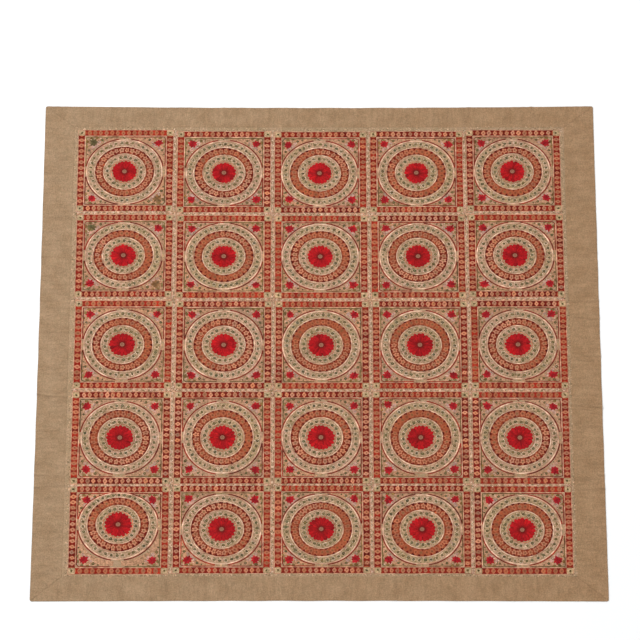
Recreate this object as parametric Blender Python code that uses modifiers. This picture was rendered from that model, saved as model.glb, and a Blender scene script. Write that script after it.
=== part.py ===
"""Mirror work embroidered coverlet, lying flat with its embroidered side up.

A beige centre panel carries five rows of five embroidered tiles. Each tile is a raised square frame
round a medallion: a flower with a small round mirror at its heart, and a wide stitched ring round it.
Four strips of plain tan cloth, mitred at the corners, are sewn round the panel as its border.
The origin is at the middle of the coverlet, on the surface that it lies on. X runs along the rows of
tiles, Y towards the top edge, and Z up. All sizes are in metres.
"""

import math

import bmesh
import bpy

COVERLET_WIDTH = 2.290
COVERLET_LENGTH = 2.290
CLOTH_THICKNESS = 0.002
CLEARANCE = 0.0003  # between pieces that are sewn or laid against each other

# The seam between the centre panel and the border, as distances from the middle of the coverlet
SEAM_SIDE = 1.020
SEAM_TOP = 1.042
SEAM_BOTTOM = 1.036

# The embroidered tiles, in columns from the left. x is the middle of a column's frames, and off is
# how far its medallions were drawn to the right of that
COLUMNS = (
    {"x": -0.802, "frame_width": 0.394, "off": -0.003},
    {"x": -0.392, "frame_width": 0.386, "off": 0.000},
    {"x": 0.009, "frame_width": 0.379, "off": -0.004},
    {"x": 0.408, "frame_width": 0.384, "off": -0.001},
    {"x": 0.811, "frame_width": 0.388, "off": -0.005},
)
# The rows from the top: the middle line of the frames, how far it bends up towards its ends per metre
# squared, how far the row is shifted to the right, and how far up its medallions are set and drawn out
ROWS = (
    {"y": 0.824, "bow": 0.013, "shift": -0.004, "frame_height": 0.389, "up": -0.005, "stretch": 0.980},
    {"y": 0.420, "bow": 0.009, "shift": -0.001, "frame_height": 0.388, "up": 0.001, "stretch": 0.985},
    {"y": 0.008, "bow": 0.004, "shift": 0.003, "frame_height": 0.404, "up": -0.001, "stretch": 1.008},
    {"y": -0.416, "bow": -0.002, "shift": 0.002, "frame_height": 0.416, "up": 0.000, "stretch": 1.030},
    {"y": -0.827, "bow": -0.006, "shift": 0.003, "frame_height": 0.389, "up": 0.000, "stretch": 0.980},
)
ODD_MEDALLIONS = {(5, 1): 0.024}  # sewn above the line of their row, by this much

# One tile, from its middle outwards
MIRROR_RADIUS = 0.007
MIRROR_THICKNESS = 0.0012
MIRROR_BEVEL = 0.0003
RIM_RADIUS = 0.0115  # the ring of stitches that holds the mirror
FLOWER_RADIUS = 0.053
RING_INNER_RADIUS = 0.089
RING_OUTER_RADIUS = 0.123
FRAME_BAND = 0.026

# Heights above the surface that the coverlet lies on
EMBEDDED = 0.001  # stitched work is rooted this high, inside the cloth
MIRROR_SEAT = CLOTH_THICKNESS + 0.0003
RIM_TOP = CLOTH_THICKNESS + 0.0020
FLOWER_TOP = CLOTH_THICKNESS + 0.0014
FLOWER_EDGE = CLOTH_THICKNESS + 0.0007
RING_TOP = CLOTH_THICKNESS + 0.0009
FRAME_TOP = CLOTH_THICKNESS + 0.0008

FLOWER_STEPS = 16
RING_STEPS = 20

# The border strips
CORNER_ROUNDING = 0.009
ROWS_ACROSS_BORDER = 3
STATION_SPACING = 0.16
MITRE_GAP = CLEARANCE / math.sqrt(2)
BORDERS = (
    {"name": "border_top", "turn": 0, "seam": SEAM_TOP, "bow": 0.008},
    {"name": "border_left", "turn": 1, "seam": SEAM_SIDE, "bow": 0.002},
    {"name": "border_bottom", "turn": 2, "seam": SEAM_BOTTOM, "bow": 0.003},
    {"name": "border_right", "turn": 3, "seam": SEAM_SIDE, "bow": 0.001},
)
# Creases that cross a border, where the coverlet has been folded: at is the place along the strip,
# going round the coverlet against the clock, and slant is how far the crease runs on by the outer edge
CREASES = (
    {"border": "border_top", "at": -0.905, "slant": 0.020, "width": 0.016, "height": 0.0030},
    {"border": "border_top", "at": -0.610, "slant": -0.012, "width": 0.022, "height": 0.0020},
    {"border": "border_top", "at": 0.395, "slant": 0.008, "width": 0.024, "height": 0.0016},
    {"border": "border_left", "at": 0.235, "slant": -0.012, "width": 0.015, "height": 0.0040},
    {"border": "border_left", "at": 0.378, "slant": 0.006, "width": 0.018, "height": 0.0022},
    {"border": "border_left", "at": 0.592, "slant": -0.008, "width": 0.014, "height": 0.0036},
    {"border": "border_left", "at": 0.630, "slant": 0.010, "width": 0.013, "height": 0.0028},
    {"border": "border_bottom", "at": -0.520, "slant": 0.014, "width": 0.020, "height": 0.0026},
    {"border": "border_bottom", "at": 0.310, "slant": -0.010, "width": 0.018, "height": 0.0030},
    {"border": "border_right", "at": -0.642, "slant": -0.006, "width": 0.014, "height": 0.0036},
    {"border": "border_right", "at": -0.598, "slant": 0.012, "width": 0.013, "height": 0.0026},
    {"border": "border_right", "at": -0.266, "slant": -0.014, "width": 0.015, "height": 0.0040},
    {"border": "border_right", "at": -0.050, "slant": 0.010, "width": 0.020, "height": 0.0018},
)
CREASE_AT_SEAM = 0.35  # the share of a crease's height that is left at the seam

COLLECTION = "mirror_work_coverlet"
HELPERS = "stitched_shapes"


def clear_scene():
    for old in list(bpy.data.objects):
        bpy.data.objects.remove(old)


def new_collection(name, shown):
    collection = bpy.data.collections.new(name)
    bpy.context.scene.collection.children.link(collection)
    collection.hide_render = not shown
    return collection


def new_material(name, colour, roughness, metallic=0.0):
    material = bpy.data.materials.new(name)
    material.use_nodes = True
    shader = material.node_tree.nodes["Principled BSDF"]
    shader.inputs["Base Color"].default_value = (*colour, 1.0)
    shader.inputs["Roughness"].default_value = roughness
    shader.inputs["Metallic"].default_value = metallic
    return material


def new_object(name, mesh_maker, collection, material=None):
    """An object whose mesh is what mesh_maker leaves in a BMesh."""
    mesh = bpy.data.meshes.new(name)
    shape = bmesh.new()
    mesh_maker(shape)
    shape.to_mesh(mesh)
    shape.free()
    made = bpy.data.objects.new(name, mesh)
    collection.objects.link(made)
    if material:
        mesh.materials.append(material)
    return made


def helper(made):
    made.hide_render = True
    made.display_type = "WIRE"
    return made


def tile_centre(row, column):
    """Where the tile's frame is centred: on its row, which is bowed and shifted a little."""
    x = COLUMNS[column]["x"] + ROWS[row]["shift"]
    y = ROWS[row]["y"] + ROWS[row]["bow"] * x * x
    return x, y


def medallion_centre(row, column):
    x, y = tile_centre(row, column)
    up = ROWS[row]["up"] + ODD_MEDALLIONS.get((row + 1, column + 1), 0.0)
    return x + COLUMNS[column]["off"], y + up


def turned_shape(name, profile, steps, closed, collection):
    """A profile of (radius, height) points, from the top outwards and down, turned round Z."""

    def outline(shape):
        points = [shape.verts.new((radius, 0.0, height)) for radius, height in profile]
        ends = points[1:] + points[:1] if closed else points[1:]
        for start, end in zip(points, ends):
            shape.edges.new((start, end))

    made = helper(new_object(name, outline, collection))
    screw = made.modifiers.new("turn", "SCREW")
    screw.steps = steps
    screw.render_steps = steps
    screw.use_merge_vertices = True
    screw.merge_threshold = 0.00001
    return made


def flower(row, column, collection):
    """The stitched flower, a low dome with a seat for the mirror inside a raised ring of stitches."""
    seat_radius = MIRROR_RADIUS + CLEARANCE
    profile = (
        (0.0, MIRROR_SEAT),
        (seat_radius, MIRROR_SEAT),
        (seat_radius, RIM_TOP),
        (RIM_RADIUS, FLOWER_TOP),
        (FLOWER_RADIUS, FLOWER_EDGE),
        (FLOWER_RADIUS, EMBEDDED),
        (0.0, EMBEDDED),
    )
    return turned_shape(f"flower_{row + 1}_{column + 1}", profile, FLOWER_STEPS, False, collection)


def stitched_ring(row, column, collection):
    """The wide ring of red stitching, which stands above the cloth inside and outside it."""
    profile = (
        (RING_INNER_RADIUS, EMBEDDED),
        (RING_INNER_RADIUS, RING_TOP),
        (RING_OUTER_RADIUS, RING_TOP),
        (RING_OUTER_RADIUS, EMBEDDED),
    )
    return turned_shape(f"ring_{row + 1}_{column + 1}", profile, RING_STEPS, True, collection)


def frame(row, column, collection):
    """The square frame of a tile, a flat band with a shell's thickness."""
    width = COLUMNS[column]["frame_width"]
    height = ROWS[row]["frame_height"]

    def band(shape):
        bmesh.ops.create_grid(shape, x_segments=1, y_segments=1, size=0.5)
        bmesh.ops.scale(shape, vec=(width, height, 1.0), verts=shape.verts)
        field = shape.faces[:]
        bmesh.ops.inset_region(shape, faces=field, thickness=FRAME_BAND)
        bmesh.ops.delete(shape, geom=field, context="FACES_ONLY")
        bmesh.ops.translate(shape, vec=(0.0, 0.0, EMBEDDED), verts=shape.verts)

    made = helper(new_object(f"frame_{row + 1}_{column + 1}", band, collection))
    solidify = made.modifiers.new("thickness", "SOLIDIFY")
    solidify.thickness = FRAME_TOP - EMBEDDED
    solidify.offset = 1.0
    return made


def embroidered_panel(collection, helpers, material):
    """The centre panel, with the stitched work of all tiles raised on it."""

    def slab(shape):
        bmesh.ops.create_cube(shape, size=1.0)
        size = (2 * SEAM_SIDE, SEAM_TOP + SEAM_BOTTOM, CLOTH_THICKNESS)
        bmesh.ops.scale(shape, vec=size, verts=shape.verts)
        middle = (0.0, (SEAM_TOP - SEAM_BOTTOM) / 2, CLOTH_THICKNESS / 2)
        bmesh.ops.translate(shape, vec=middle, verts=shape.verts)

    panel = new_object("embroidered_panel", slab, collection, material)
    for row in range(len(ROWS)):
        for column in range(len(COLUMNS)):
            frame(row, column, helpers).location = (*tile_centre(row, column), 0.0)
            for worked in (flower(row, column, helpers), stitched_ring(row, column, helpers)):
                worked.location = (*medallion_centre(row, column), 0.0)
                worked.scale = (1.0, ROWS[row]["stretch"], 1.0)
    union = panel.modifiers.new("stitched work", "BOOLEAN")
    union.operation = "UNION"
    union.operand_type = "COLLECTION"
    union.collection = helpers
    union.solver = "EXACT"
    return panel


def mirror(row, column, collection, material):
    """A small round mirror, loose in its seat by the clearance all round."""

    def disc(shape):
        bmesh.ops.create_cone(
            shape,
            cap_ends=True,
            segments=FLOWER_STEPS,
            radius1=MIRROR_RADIUS,
            radius2=MIRROR_RADIUS - MIRROR_BEVEL,
            depth=MIRROR_THICKNESS,
        )
        bmesh.ops.scale(shape, vec=(1.0, ROWS[row]["stretch"], 1.0), verts=shape.verts)

    made = new_object(f"mirror_{row + 1}_{column + 1}", disc, collection, material)
    rest = MIRROR_SEAT + CLEARANCE + MIRROR_THICKNESS / 2
    made.location = (*medallion_centre(row, column), rest)
    return made


def seam_ends(border):
    """How far the border's seam reaches to either side of its middle, along the strip."""
    names = [b["name"] for b in BORDERS]
    at = names.index(border["name"])
    before = BORDERS[(at + 3) % 4]["seam"]
    after = BORDERS[(at + 1) % 4]["seam"]
    return -before, after


def stations(border, edge_low, edge_high):
    """Places along the strip where it has a row of points: evenly spaced, close round each crease
    and closest round the rounded corners."""
    count = math.ceil((edge_high - edge_low) / STATION_SPACING)
    found = {edge_low + (edge_high - edge_low) * i / count for i in range(count + 1)}
    for crease in CREASES:
        if crease["border"] == border["name"]:
            for step in (-1.0, -0.5, 0.0, 0.5, 1.0):
                found.add(crease["at"] + step * crease["width"])
    for step in (0.3, 1.0):
        found.add(edge_low + step * CORNER_ROUNDING)
        found.add(edge_high - step * CORNER_ROUNDING)
    kept = []
    for place in sorted(found):
        if not kept or place - kept[-1] > 0.003:
            kept.append(place)
    return kept


def crease_height(border, along, across):
    """The height of the creases at a point, across being 0 at the seam and 1 at the outer edge."""
    total = 0.0
    for crease in CREASES:
        if crease["border"] == border["name"]:
            centre = crease["at"] + crease["slant"] * across
            away = min(1.0, abs(along - centre) / crease["width"])
            fade = CREASE_AT_SEAM + (1.0 - CREASE_AT_SEAM) * across
            total += crease["height"] * fade * math.cos(away * math.pi / 2) ** 2
    return total


def corner_inset(distance):
    """How far the outline is drawn in at this distance from a corner, along the edge."""
    if distance >= CORNER_ROUNDING:
        return 0.0
    left = CORNER_ROUNDING - distance
    return CORNER_ROUNDING - math.sqrt(max(0.0, CORNER_ROUNDING**2 - left**2))


def border_strip(border, collection, material):
    """A strip of plain cloth along one side, from its seam to its outer edge, mitred at both ends.

    It is made along the top of the coverlet and then turned to its side. along runs to the left, so
    that all four follow each other against the clock.
    """
    half = COVERLET_WIDTH / 2
    corner_cut = CORNER_ROUNDING * (1 - math.sqrt(0.5)) + MITRE_GAP
    edge_low, edge_high = corner_cut - half, half - corner_cut
    seam_low, seam_high = seam_ends(border)
    seam_low, seam_high = seam_low + MITRE_GAP, seam_high - MITRE_GAP
    places = stations(border, edge_low, edge_high)
    straight = half - CORNER_ROUNDING

    def cloth(shape):
        bmesh.ops.create_grid(
            shape, x_segments=len(places) - 1, y_segments=ROWS_ACROSS_BORDER, size=0.5
        )
        for vertex in shape.verts:
            station = round((vertex.co.x + 0.5) * (len(places) - 1))
            across = round((vertex.co.y + 0.5) * ROWS_ACROSS_BORDER) / ROWS_ACROSS_BORDER
            low = seam_low + (edge_low - seam_low) * across
            high = seam_high + (edge_high - seam_high) * across
            along = min(max(places[station], low), high)
            inset = max(corner_inset(half - along), corner_inset(half + along))
            bow = border["bow"] * max(0.0, 1.0 - (along / straight) ** 2)
            seam = border["seam"] + CLEARANCE
            out = seam + (half - inset - bow - seam) * across
            vertex.co = (-along, out, crease_height(border, along, across))
        bmesh.ops.remove_doubles(shape, verts=shape.verts, dist=0.00005)
        bmesh.ops.dissolve_degenerate(shape, edges=shape.edges, dist=0.00005)
        under = shape.faces[:]
        grown = bmesh.ops.extrude_face_region(shape, geom=under)
        top = [g for g in grown["geom"] if isinstance(g, bmesh.types.BMVert)]
        bmesh.ops.translate(shape, vec=(0.0, 0.0, CLOTH_THICKNESS), verts=top)
        bmesh.ops.recalc_face_normals(shape, faces=shape.faces)

    made = new_object(border["name"], cloth, collection, material)
    made.rotation_euler.z = border["turn"] * math.pi / 2
    return made


def main():
    clear_scene()
    coverlet = new_collection(COLLECTION, shown=True)
    helpers = new_collection(HELPERS, shown=False)
    beige_cloth = new_material("beige_cloth", (0.45, 0.33, 0.20), 0.9)
    tan_cloth = new_material("tan_cloth", (0.41, 0.27, 0.16), 0.9)
    mirror_glass = new_material("mirror_glass", (0.80, 0.80, 0.78), 0.08, metallic=1.0)
    embroidered_panel(coverlet, helpers, beige_cloth)
    for border in BORDERS:
        border_strip(border, coverlet, tan_cloth)
    for row in range(len(ROWS)):
        for column in range(len(COLUMNS)):
            mirror(row, column, coverlet, mirror_glass)


main()
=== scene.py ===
"""Looks of a mirror work embroidered coverlet that lies flat, with its embroidered side up.

The sections follow the coverlet as it is made: the centre panel, the border sewn round it, then each
tile's rings, flower, mirror, frame and corners, and last the strips between the tiles. X runs along
the rows of tiles, Y towards the top edge and Z up, in metres, with the origin at the middle of the
coverlet on the surface that it lies on.
"""

import math

import bpy
import numpy as np
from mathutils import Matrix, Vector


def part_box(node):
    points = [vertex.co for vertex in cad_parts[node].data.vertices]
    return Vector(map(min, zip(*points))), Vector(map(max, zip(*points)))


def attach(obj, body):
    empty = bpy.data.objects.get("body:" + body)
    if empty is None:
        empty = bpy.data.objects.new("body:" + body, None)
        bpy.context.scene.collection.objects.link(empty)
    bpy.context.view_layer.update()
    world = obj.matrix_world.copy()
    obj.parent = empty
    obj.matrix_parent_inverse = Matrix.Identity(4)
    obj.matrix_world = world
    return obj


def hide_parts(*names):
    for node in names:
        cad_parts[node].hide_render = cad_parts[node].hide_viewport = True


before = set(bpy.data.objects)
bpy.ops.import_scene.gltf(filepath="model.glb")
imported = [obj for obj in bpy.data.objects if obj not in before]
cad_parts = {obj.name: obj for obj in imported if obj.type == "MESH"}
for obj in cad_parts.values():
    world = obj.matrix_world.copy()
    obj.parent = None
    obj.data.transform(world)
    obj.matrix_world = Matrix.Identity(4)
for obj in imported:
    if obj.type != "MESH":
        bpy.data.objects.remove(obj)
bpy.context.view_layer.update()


# The camera looks down on the coverlet from beyond its lower edge, through a long lens.
# Its aim is a point a little above the middle of the coverlet, as in the photograph.
VIEW_HEIGHT = math.radians(61.2)
VIEW_DISTANCE = 19.233
AIM_X, AIM_Y = 0.003, 0.125

camera = bpy.data.objects.new("camera", bpy.data.cameras.new("camera"))
bpy.context.scene.collection.objects.link(camera)
camera.data.sensor_width = 36.0
camera.data.lens = 265.0
camera.data.clip_end = 100.0
camera.location = (
    AIM_X, AIM_Y - VIEW_DISTANCE * math.cos(VIEW_HEIGHT), VIEW_DISTANCE * math.sin(VIEW_HEIGHT),
)
camera.rotation_euler = (math.pi / 2 - VIEW_HEIGHT, 0.0, 0.0)
bpy.context.scene.camera = camera
bpy.context.scene.view_settings.view_transform = "Standard"


# The centre panel is one piece of plain woven cotton, the ground that all the embroidery is worked on.
# The stitching draws it into slow waves, and its edges are tucked a little way under the border.
CLOTH_TOP = 0.0020
CLOTH_UNDER = 0.0002
BRIGHTNESS = 1.14
YARN = 0.0011
PER_WIDTH = 0.4367
TUCK = 0.005
TUCKED_TOP = 0.0010
GRID_STEP = 0.024
SEAM_LINES = (-TUCK, 0.0, 0.0015, 0.0040, 0.0080)
PANEL_DIP = 0.0025
PANEL_LOW, PANEL_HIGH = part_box("embroidered_panel")


def seen(red, green, blue):
    """The colour of thread or cloth that shows as these 0 to 255 screen values in this scene's light:
    the usual screen curve, undone, then divided by how brightly the light falls on the coverlet."""
    shown = np.array([red, green, blue]) / 255.0
    light = np.where(shown <= 0.04045, shown / 12.92, ((shown + 0.055) / 1.055) ** 2.4)
    return light / BRIGHTNESS


def lie(x, y):
    """Height of the panel's upper side: its thickness, and three slow waves of different slants."""
    waves = np.sin(5.1 * x + 0.7) * np.sin(4.3 * y + 1.9)
    waves = waves + 0.6 * np.sin(13.7 * x - 8.2 * y) + 0.5 * np.sin(7.9 * x + 16.1 * y + 2.3)
    return CLOTH_TOP + 0.00018 * waves


def grid_quads(rows, columns, closed=False):
    """Four-sided faces between neighbours in a grid of points, rows by columns, facing up where the
    columns run along X and the rows along Y. A closed grid's last column is joined to its first."""
    index = np.arange(rows * columns).reshape(rows, columns)
    if closed:
        index = np.concatenate([index, index[:, :1]], axis=1)
    corners = (index[:-1, :-1], index[:-1, 1:], index[1:, 1:], index[1:, :-1])
    return np.stack(corners, axis=-1).reshape(-1, 4)


def mesh_object(name, points, quads):
    """A smooth mesh object from an array of points and an array of four-sided faces."""
    mesh = bpy.data.meshes.new(name)
    mesh.vertices.add(len(points))
    mesh.vertices.foreach_set("co", points.astype(np.float32).ravel())
    mesh.loops.add(quads.size)
    mesh.loops.foreach_set("vertex_index", quads.astype(np.int32).ravel())
    mesh.polygons.add(len(quads))
    mesh.polygons.foreach_set("loop_start", np.arange(0, quads.size, 4, dtype=np.int32))
    mesh.update(calc_edges=True)
    mesh.shade_smooth()
    made = bpy.data.objects.new(name, mesh)
    bpy.context.scene.collection.objects.link(made)
    return made


def sheet_object(name, x, y, top, under):
    """A sheet with a thickness: the grid (x, y) at the heights top, faced up, the same grid at the
    heights under, faced down, and a rim of faces between their edges."""
    rows, columns = x.shape
    upper = np.stack([x, y, top], axis=-1).reshape(-1, 3)
    lower = np.stack([x, y, under], axis=-1).reshape(-1, 3)
    quads = grid_quads(rows, columns)
    index = np.arange(rows * columns).reshape(rows, columns)
    rim = np.concatenate([index[0, :-1], index[:-1, -1], index[-1, :0:-1], index[:0:-1, 0]])
    after, below = np.roll(rim, -1), len(upper)
    walls = np.stack([rim + below, after + below, after, rim], axis=-1)
    faces = np.concatenate([quads, quads[:, ::-1] + below, walls])
    made = mesh_object(name, np.concatenate([upper, lower]), faces)
    made.data.set_sharp_from_angle(angle=math.radians(60))
    return made


class Nodes:
    """Short calls that add shader nodes to one new material and link them up."""

    def __init__(self, name, roughness, sheen):
        """A new material whose shader has this roughness, under a soft nap of fibres."""
        self.material = bpy.data.materials.new(name)
        self.material.use_nodes = True
        self.tree = self.material.node_tree
        self.shader = self.tree.nodes["Principled BSDF"]
        self.shader.inputs["Roughness"].default_value = roughness
        self.shader.inputs["Sheen Weight"].default_value = sheen
        self.shader.inputs["Sheen Roughness"].default_value = 0.5
        self.shader.inputs["Specular IOR Level"].default_value = 0.06

    def add(self, kind, **settings):
        """A new node of this kind, with these settings."""
        node = self.tree.nodes.new(kind)
        for setting, value in settings.items():
            setattr(node, setting, value)
        return node

    def feed(self, node, *inputs):
        """Gives the node's inputs, in order, links or plain values. None leaves one as it is."""
        for socket, value in zip(node.inputs, inputs):
            if isinstance(value, bpy.types.NodeSocket):
                self.tree.links.new(value, socket)
            elif value is not None:
                socket.default_value = value
        return node

    def math(self, operation, *inputs):
        """One operation on numbers, each a link or a plain value."""
        return self.feed(self.add("ShaderNodeMath", operation=operation), *inputs).outputs[0]

    def noise(self, place, scale, stretch=(1.0, 1.0, 1.0), detail=2.0):
        """Noise from 0 to 1 with this many lumps to the metre. Along each axis its stretch packs them
        closer where it is over 1, and draws them out where it is under 1."""
        mapped = self.add("ShaderNodeMapping")
        self.tree.links.new(place, mapped.inputs["Vector"])
        mapped.inputs["Scale"].default_value = stretch
        made = self.add("ShaderNodeTexNoise", noise_dimensions="3D")
        self.tree.links.new(mapped.outputs[0], made.inputs["Vector"])
        made.inputs["Scale"].default_value = scale
        made.inputs["Detail"].default_value = detail
        return made.outputs["Fac"]

    def ramp(self, factor, *stops):
        """A colour ramp through (place, colour) stops."""
        made = self.add("ShaderNodeValToRGB")
        made.color_ramp.elements.remove(made.color_ramp.elements[1])
        for number, (place, colour) in enumerate(stops):
            elements = made.color_ramp.elements
            element = elements[0] if number == 0 else elements.new(place)
            element.position = place
            element.color = (*colour, 1.0)
        self.tree.links.new(factor, made.inputs[0])
        return made.outputs["Color"]

    def shade(self, colour, factor):
        """The colour times a number, which is a link or a plain value."""
        scaled = self.add("ShaderNodeVectorMath", operation="SCALE")
        return self.feed(scaled, colour, None, None, factor).outputs[0]

    def tint(self, colour, other):
        """One colour times another."""
        tinted = self.add("ShaderNodeVectorMath", operation="MULTIPLY")
        return self.feed(tinted, colour, other).outputs[0]

    def speckle(self, colour, place, scale, low, high):
        """The colour times twice a tint that goes from low to high, in lumps of noise."""
        lumps = self.ramp(self.noise(place, scale, detail=1.5), (0.34, low), (0.66, high))
        return self.shade(self.tint(colour, lumps), 2.0)

    def finish(self, colour, height, strength, depth):
        """Links up the colour, and the height as bump that is depth metres deep."""
        self.tree.links.new(colour, self.shader.inputs["Base Color"])
        bump = self.add("ShaderNodeBump")
        bump.inputs["Strength"].default_value = strength
        bump.inputs["Distance"].default_value = depth
        self.tree.links.new(height, bump.inputs["Height"])
        self.tree.links.new(bump.outputs[0], self.shader.inputs["Normal"])
        return self.material


def woven_cotton(name, colours, right_tint=(0.5, 0.5, 0.5), painted_wrinkles=False):
    """Plain weave: warp and weft are two sine waves with the yarn's pitch, each yarn has slubs from
    noise drawn out along it, and the dye is mottled between three colours. Towards the right it is
    tinted more and more, to twice the right tint. With painted wrinkles, the colour takes the painted
    shade of fine wrinkles across its strip, from noise drawn out that way, and the painted shade and
    highlights of its creases and mitres, from the strip's colour attribute."""
    made = Nodes(name, roughness=0.88, sheen=0.15)
    place = made.add("ShaderNodeTexCoord").outputs["Object"]
    split = made.feed(made.add("ShaderNodeSeparateXYZ"), place)
    turns = 2 * math.pi / YARN
    weft = made.math("SINE", made.math("MULTIPLY", split.outputs["Y"], turns))
    warp = made.math("SINE", made.math("MULTIPLY", split.outputs["X"], turns))
    slub_x = made.noise(place, 34.0, stretch=(1.0, 26.0, 1.0))
    slub_y = made.noise(place, 34.0, stretch=(26.0, 1.0, 1.0))
    slubs = made.math("ADD", slub_x, slub_y)
    crossing = made.math("MULTIPLY", warp, weft)
    height = made.math("MULTIPLY_ADD", slubs, 1.6, crossing)
    mottle = made.noise(place, 16.0, detail=5.0)
    dye = made.ramp(mottle, *zip((0.36, 0.50, 0.64), colours))
    lighter = made.math("MULTIPLY_ADD", slubs, 0.60, 0.40)
    # Yarn tops a little lighter and the hollows of the weave darker: painted shade that follows the
    # bump.
    lighter = made.math("MULTIPLY_ADD", crossing, 0.05, lighter)
    dye = made.speckle(dye, place, 230.0, (0.42, 0.44, 0.43), (0.58, 0.56, 0.57))
    # A tint that grows towards the right: browner on the border's right side.
    rightward = made.math("MULTIPLY_ADD", split.outputs["X"], PER_WIDTH, 0.5)
    tint_to_right = made.ramp(rightward, (0.1, (0.5, 0.5, 0.5)), (0.9, right_tint))
    dye = made.tint(dye, tint_to_right)
    lighter = made.math("MULTIPLY", lighter, 2.0)
    if painted_wrinkles:
        uv = made.add("ShaderNodeUVMap", uv_map="cloth").outputs[0]
        # Painted shade of fine wrinkles: the colour goes lighter and darker in bands across the strip,
        # and the bump does not follow it.
        wrinkles = made.noise(uv, 70.0, stretch=(1.0, 0.14, 1.0), detail=2.0)
        lighter = made.math("MULTIPLY", lighter, made.math("MULTIPLY_ADD", wrinkles, 0.44, 0.78))
        # Painted shade and highlights along the creases and mitres, read from the strip's colour
        # attribute.
        dye = made.tint(dye, made.add("ShaderNodeVertexColor", layer_name="painted_shade").outputs["Color"])
    return made.finish(made.shade(dye, lighter), height, strength=0.5, depth=0.0004)


def lines_between(start, end, first, last, step):
    """Grid lines from start to end: the first ones at these distances in from the start, the last
    ones at these distances in from the end, and even ones between."""
    low, high = start + first[-1] + step, end - last[-1] - step
    between = np.linspace(low, high, round((high - low) / step) + 1)
    return np.concatenate([start + np.array(first), between, end - np.array(last[::-1])])


ground_cotton = woven_cotton(
    "ground_cotton", (seen(172, 142, 108), seen(178, 146, 112), seen(184, 150, 118))
)
panel_x, panel_y = np.meshgrid(
    lines_between(PANEL_LOW.x, PANEL_HIGH.x, SEAM_LINES, SEAM_LINES, GRID_STEP),
    lines_between(PANEL_LOW.y, PANEL_HIGH.y, SEAM_LINES, SEAM_LINES, GRID_STEP),
)
from_seam = np.minimum(
    np.minimum(panel_x - PANEL_LOW.x, PANEL_HIGH.x - panel_x),
    np.minimum(panel_y - PANEL_LOW.y, PANEL_HIGH.y - panel_y),
)
dip = np.exp(-((np.maximum(from_seam, 0.0) / PANEL_DIP) ** 2))
panel_top = lie(panel_x, panel_y) * (1.0 - dip) + TUCKED_TOP * dip
panel = sheet_object("panel_cloth", panel_x, panel_y, panel_top, np.full_like(panel_x, CLOTH_UNDER))
panel.data.materials.append(ground_cotton)
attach(panel, "root")
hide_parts("embroidered_panel")


# The border is four strips of plain tan cotton, sewn round the panel and mitred at the corners.
# Each has a narrow hem along its outer edge, and creases across it where the coverlet has been folded.
HALF = 1.145
CORNER_ROUNDING = 0.009
BORDER_TOP = 0.0021
BORDER_STEP = 0.0050
ACROSS_STEP = 0.016
HEM = 0.009
BORDER_CLEAR = 0.0011
SEAM_DIP = 0.0022
OUTER_LINES = (0.0, 0.0006, 0.0022, 0.0050, 0.0075, HEM, 0.0105, 0.0140, 0.0200)
INNER_LINES = (0.0, 0.0010, 0.0030, 0.0058, 0.0062, 0.0100)
END_LINES = (0.0, 0.0010, 0.0028, 0.0060)
BORDERS = (
    {"name": "border_top", "turn": 0, "seam": PANEL_HIGH.y, "bow": 0.008},
    {"name": "border_left", "turn": 1, "seam": -PANEL_LOW.x, "bow": 0.002},
    {"name": "border_bottom", "turn": 2, "seam": -PANEL_LOW.y, "bow": 0.003},
    {"name": "border_right", "turn": 3, "seam": PANEL_HIGH.x, "bow": 0.001},
)
TALLEST_CREASE = 0.0066
# Depth of the painted shade in each crease, brightness of the painted highlight beside it, and depth of
# the painted shade along the mitres.
CREASE_SHADE, CREASE_HIGHLIGHT, MITRE_SHADE = 0.41, 0.10, 0.14

# A crease's place is along its strip, going round the coverlet against the clock
CREASES = (
    {"border": "border_top", "at": -0.905, "slant": 0.020, "width": 0.013, "height": 0.0042},
    {"border": "border_top", "at": -0.610, "slant": -0.012, "width": 0.016, "height": 0.0030},
    {"border": "border_top", "at": 0.395, "slant": 0.008, "width": 0.018, "height": 0.0024},
    {"border": "border_left", "at": -0.429, "slant": 0.010, "width": 0.012, "height": 0.0026},
    {"border": "border_left", "at": -0.208, "slant": -0.008, "width": 0.011, "height": 0.0036},
    {"border": "border_left", "at": -0.085, "slant": 0.012, "width": 0.014, "height": 0.0020},
    {"border": "border_left", "at": 0.232, "slant": -0.012, "width": 0.011, "height": 0.0066},
    {"border": "border_left", "at": 0.378, "slant": 0.006, "width": 0.014, "height": 0.0030},
    {"border": "border_left", "at": 0.592, "slant": -0.008, "width": 0.010, "height": 0.0050},
    {"border": "border_left", "at": 0.630, "slant": 0.010, "width": 0.010, "height": 0.0040},
    {"border": "border_bottom", "at": -0.520, "slant": 0.014, "width": 0.014, "height": 0.0036},
    {"border": "border_bottom", "at": 0.310, "slant": -0.010, "width": 0.014, "height": 0.0036},
    {"border": "border_right", "at": -0.642, "slant": -0.006, "width": 0.010, "height": 0.0048},
    {"border": "border_right", "at": -0.598, "slant": 0.012, "width": 0.010, "height": 0.0036},
    {"border": "border_right", "at": -0.266, "slant": -0.014, "width": 0.011, "height": 0.0066},
    {"border": "border_right", "at": -0.050, "slant": 0.010, "width": 0.014, "height": 0.0024},
    {"border": "border_right", "at": 0.140, "slant": -0.008, "width": 0.012, "height": 0.0030},
    {"border": "border_right", "at": 0.208, "slant": 0.006, "width": 0.011, "height": 0.0036},
    {"border": "border_right", "at": 0.429, "slant": 0.012, "width": 0.012, "height": 0.0030},
)


def creases_at(name, along, across):
    """Height of a strip's creases: each is a raised cosine across its line, which slants from the
    seam to the outer edge, and it grows towards that edge."""
    total = np.zeros_like(along)
    for crease in CREASES:
        if crease["border"] == name:
            centre = crease["at"] + crease["slant"] * across
            away = np.clip(np.abs(along - centre) / crease["width"], 0.0, 1.0)
            growth = 0.20 + 0.35 * across
            total = total + crease["height"] * growth * np.cos(away * math.pi / 2) ** 2
    return total


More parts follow.
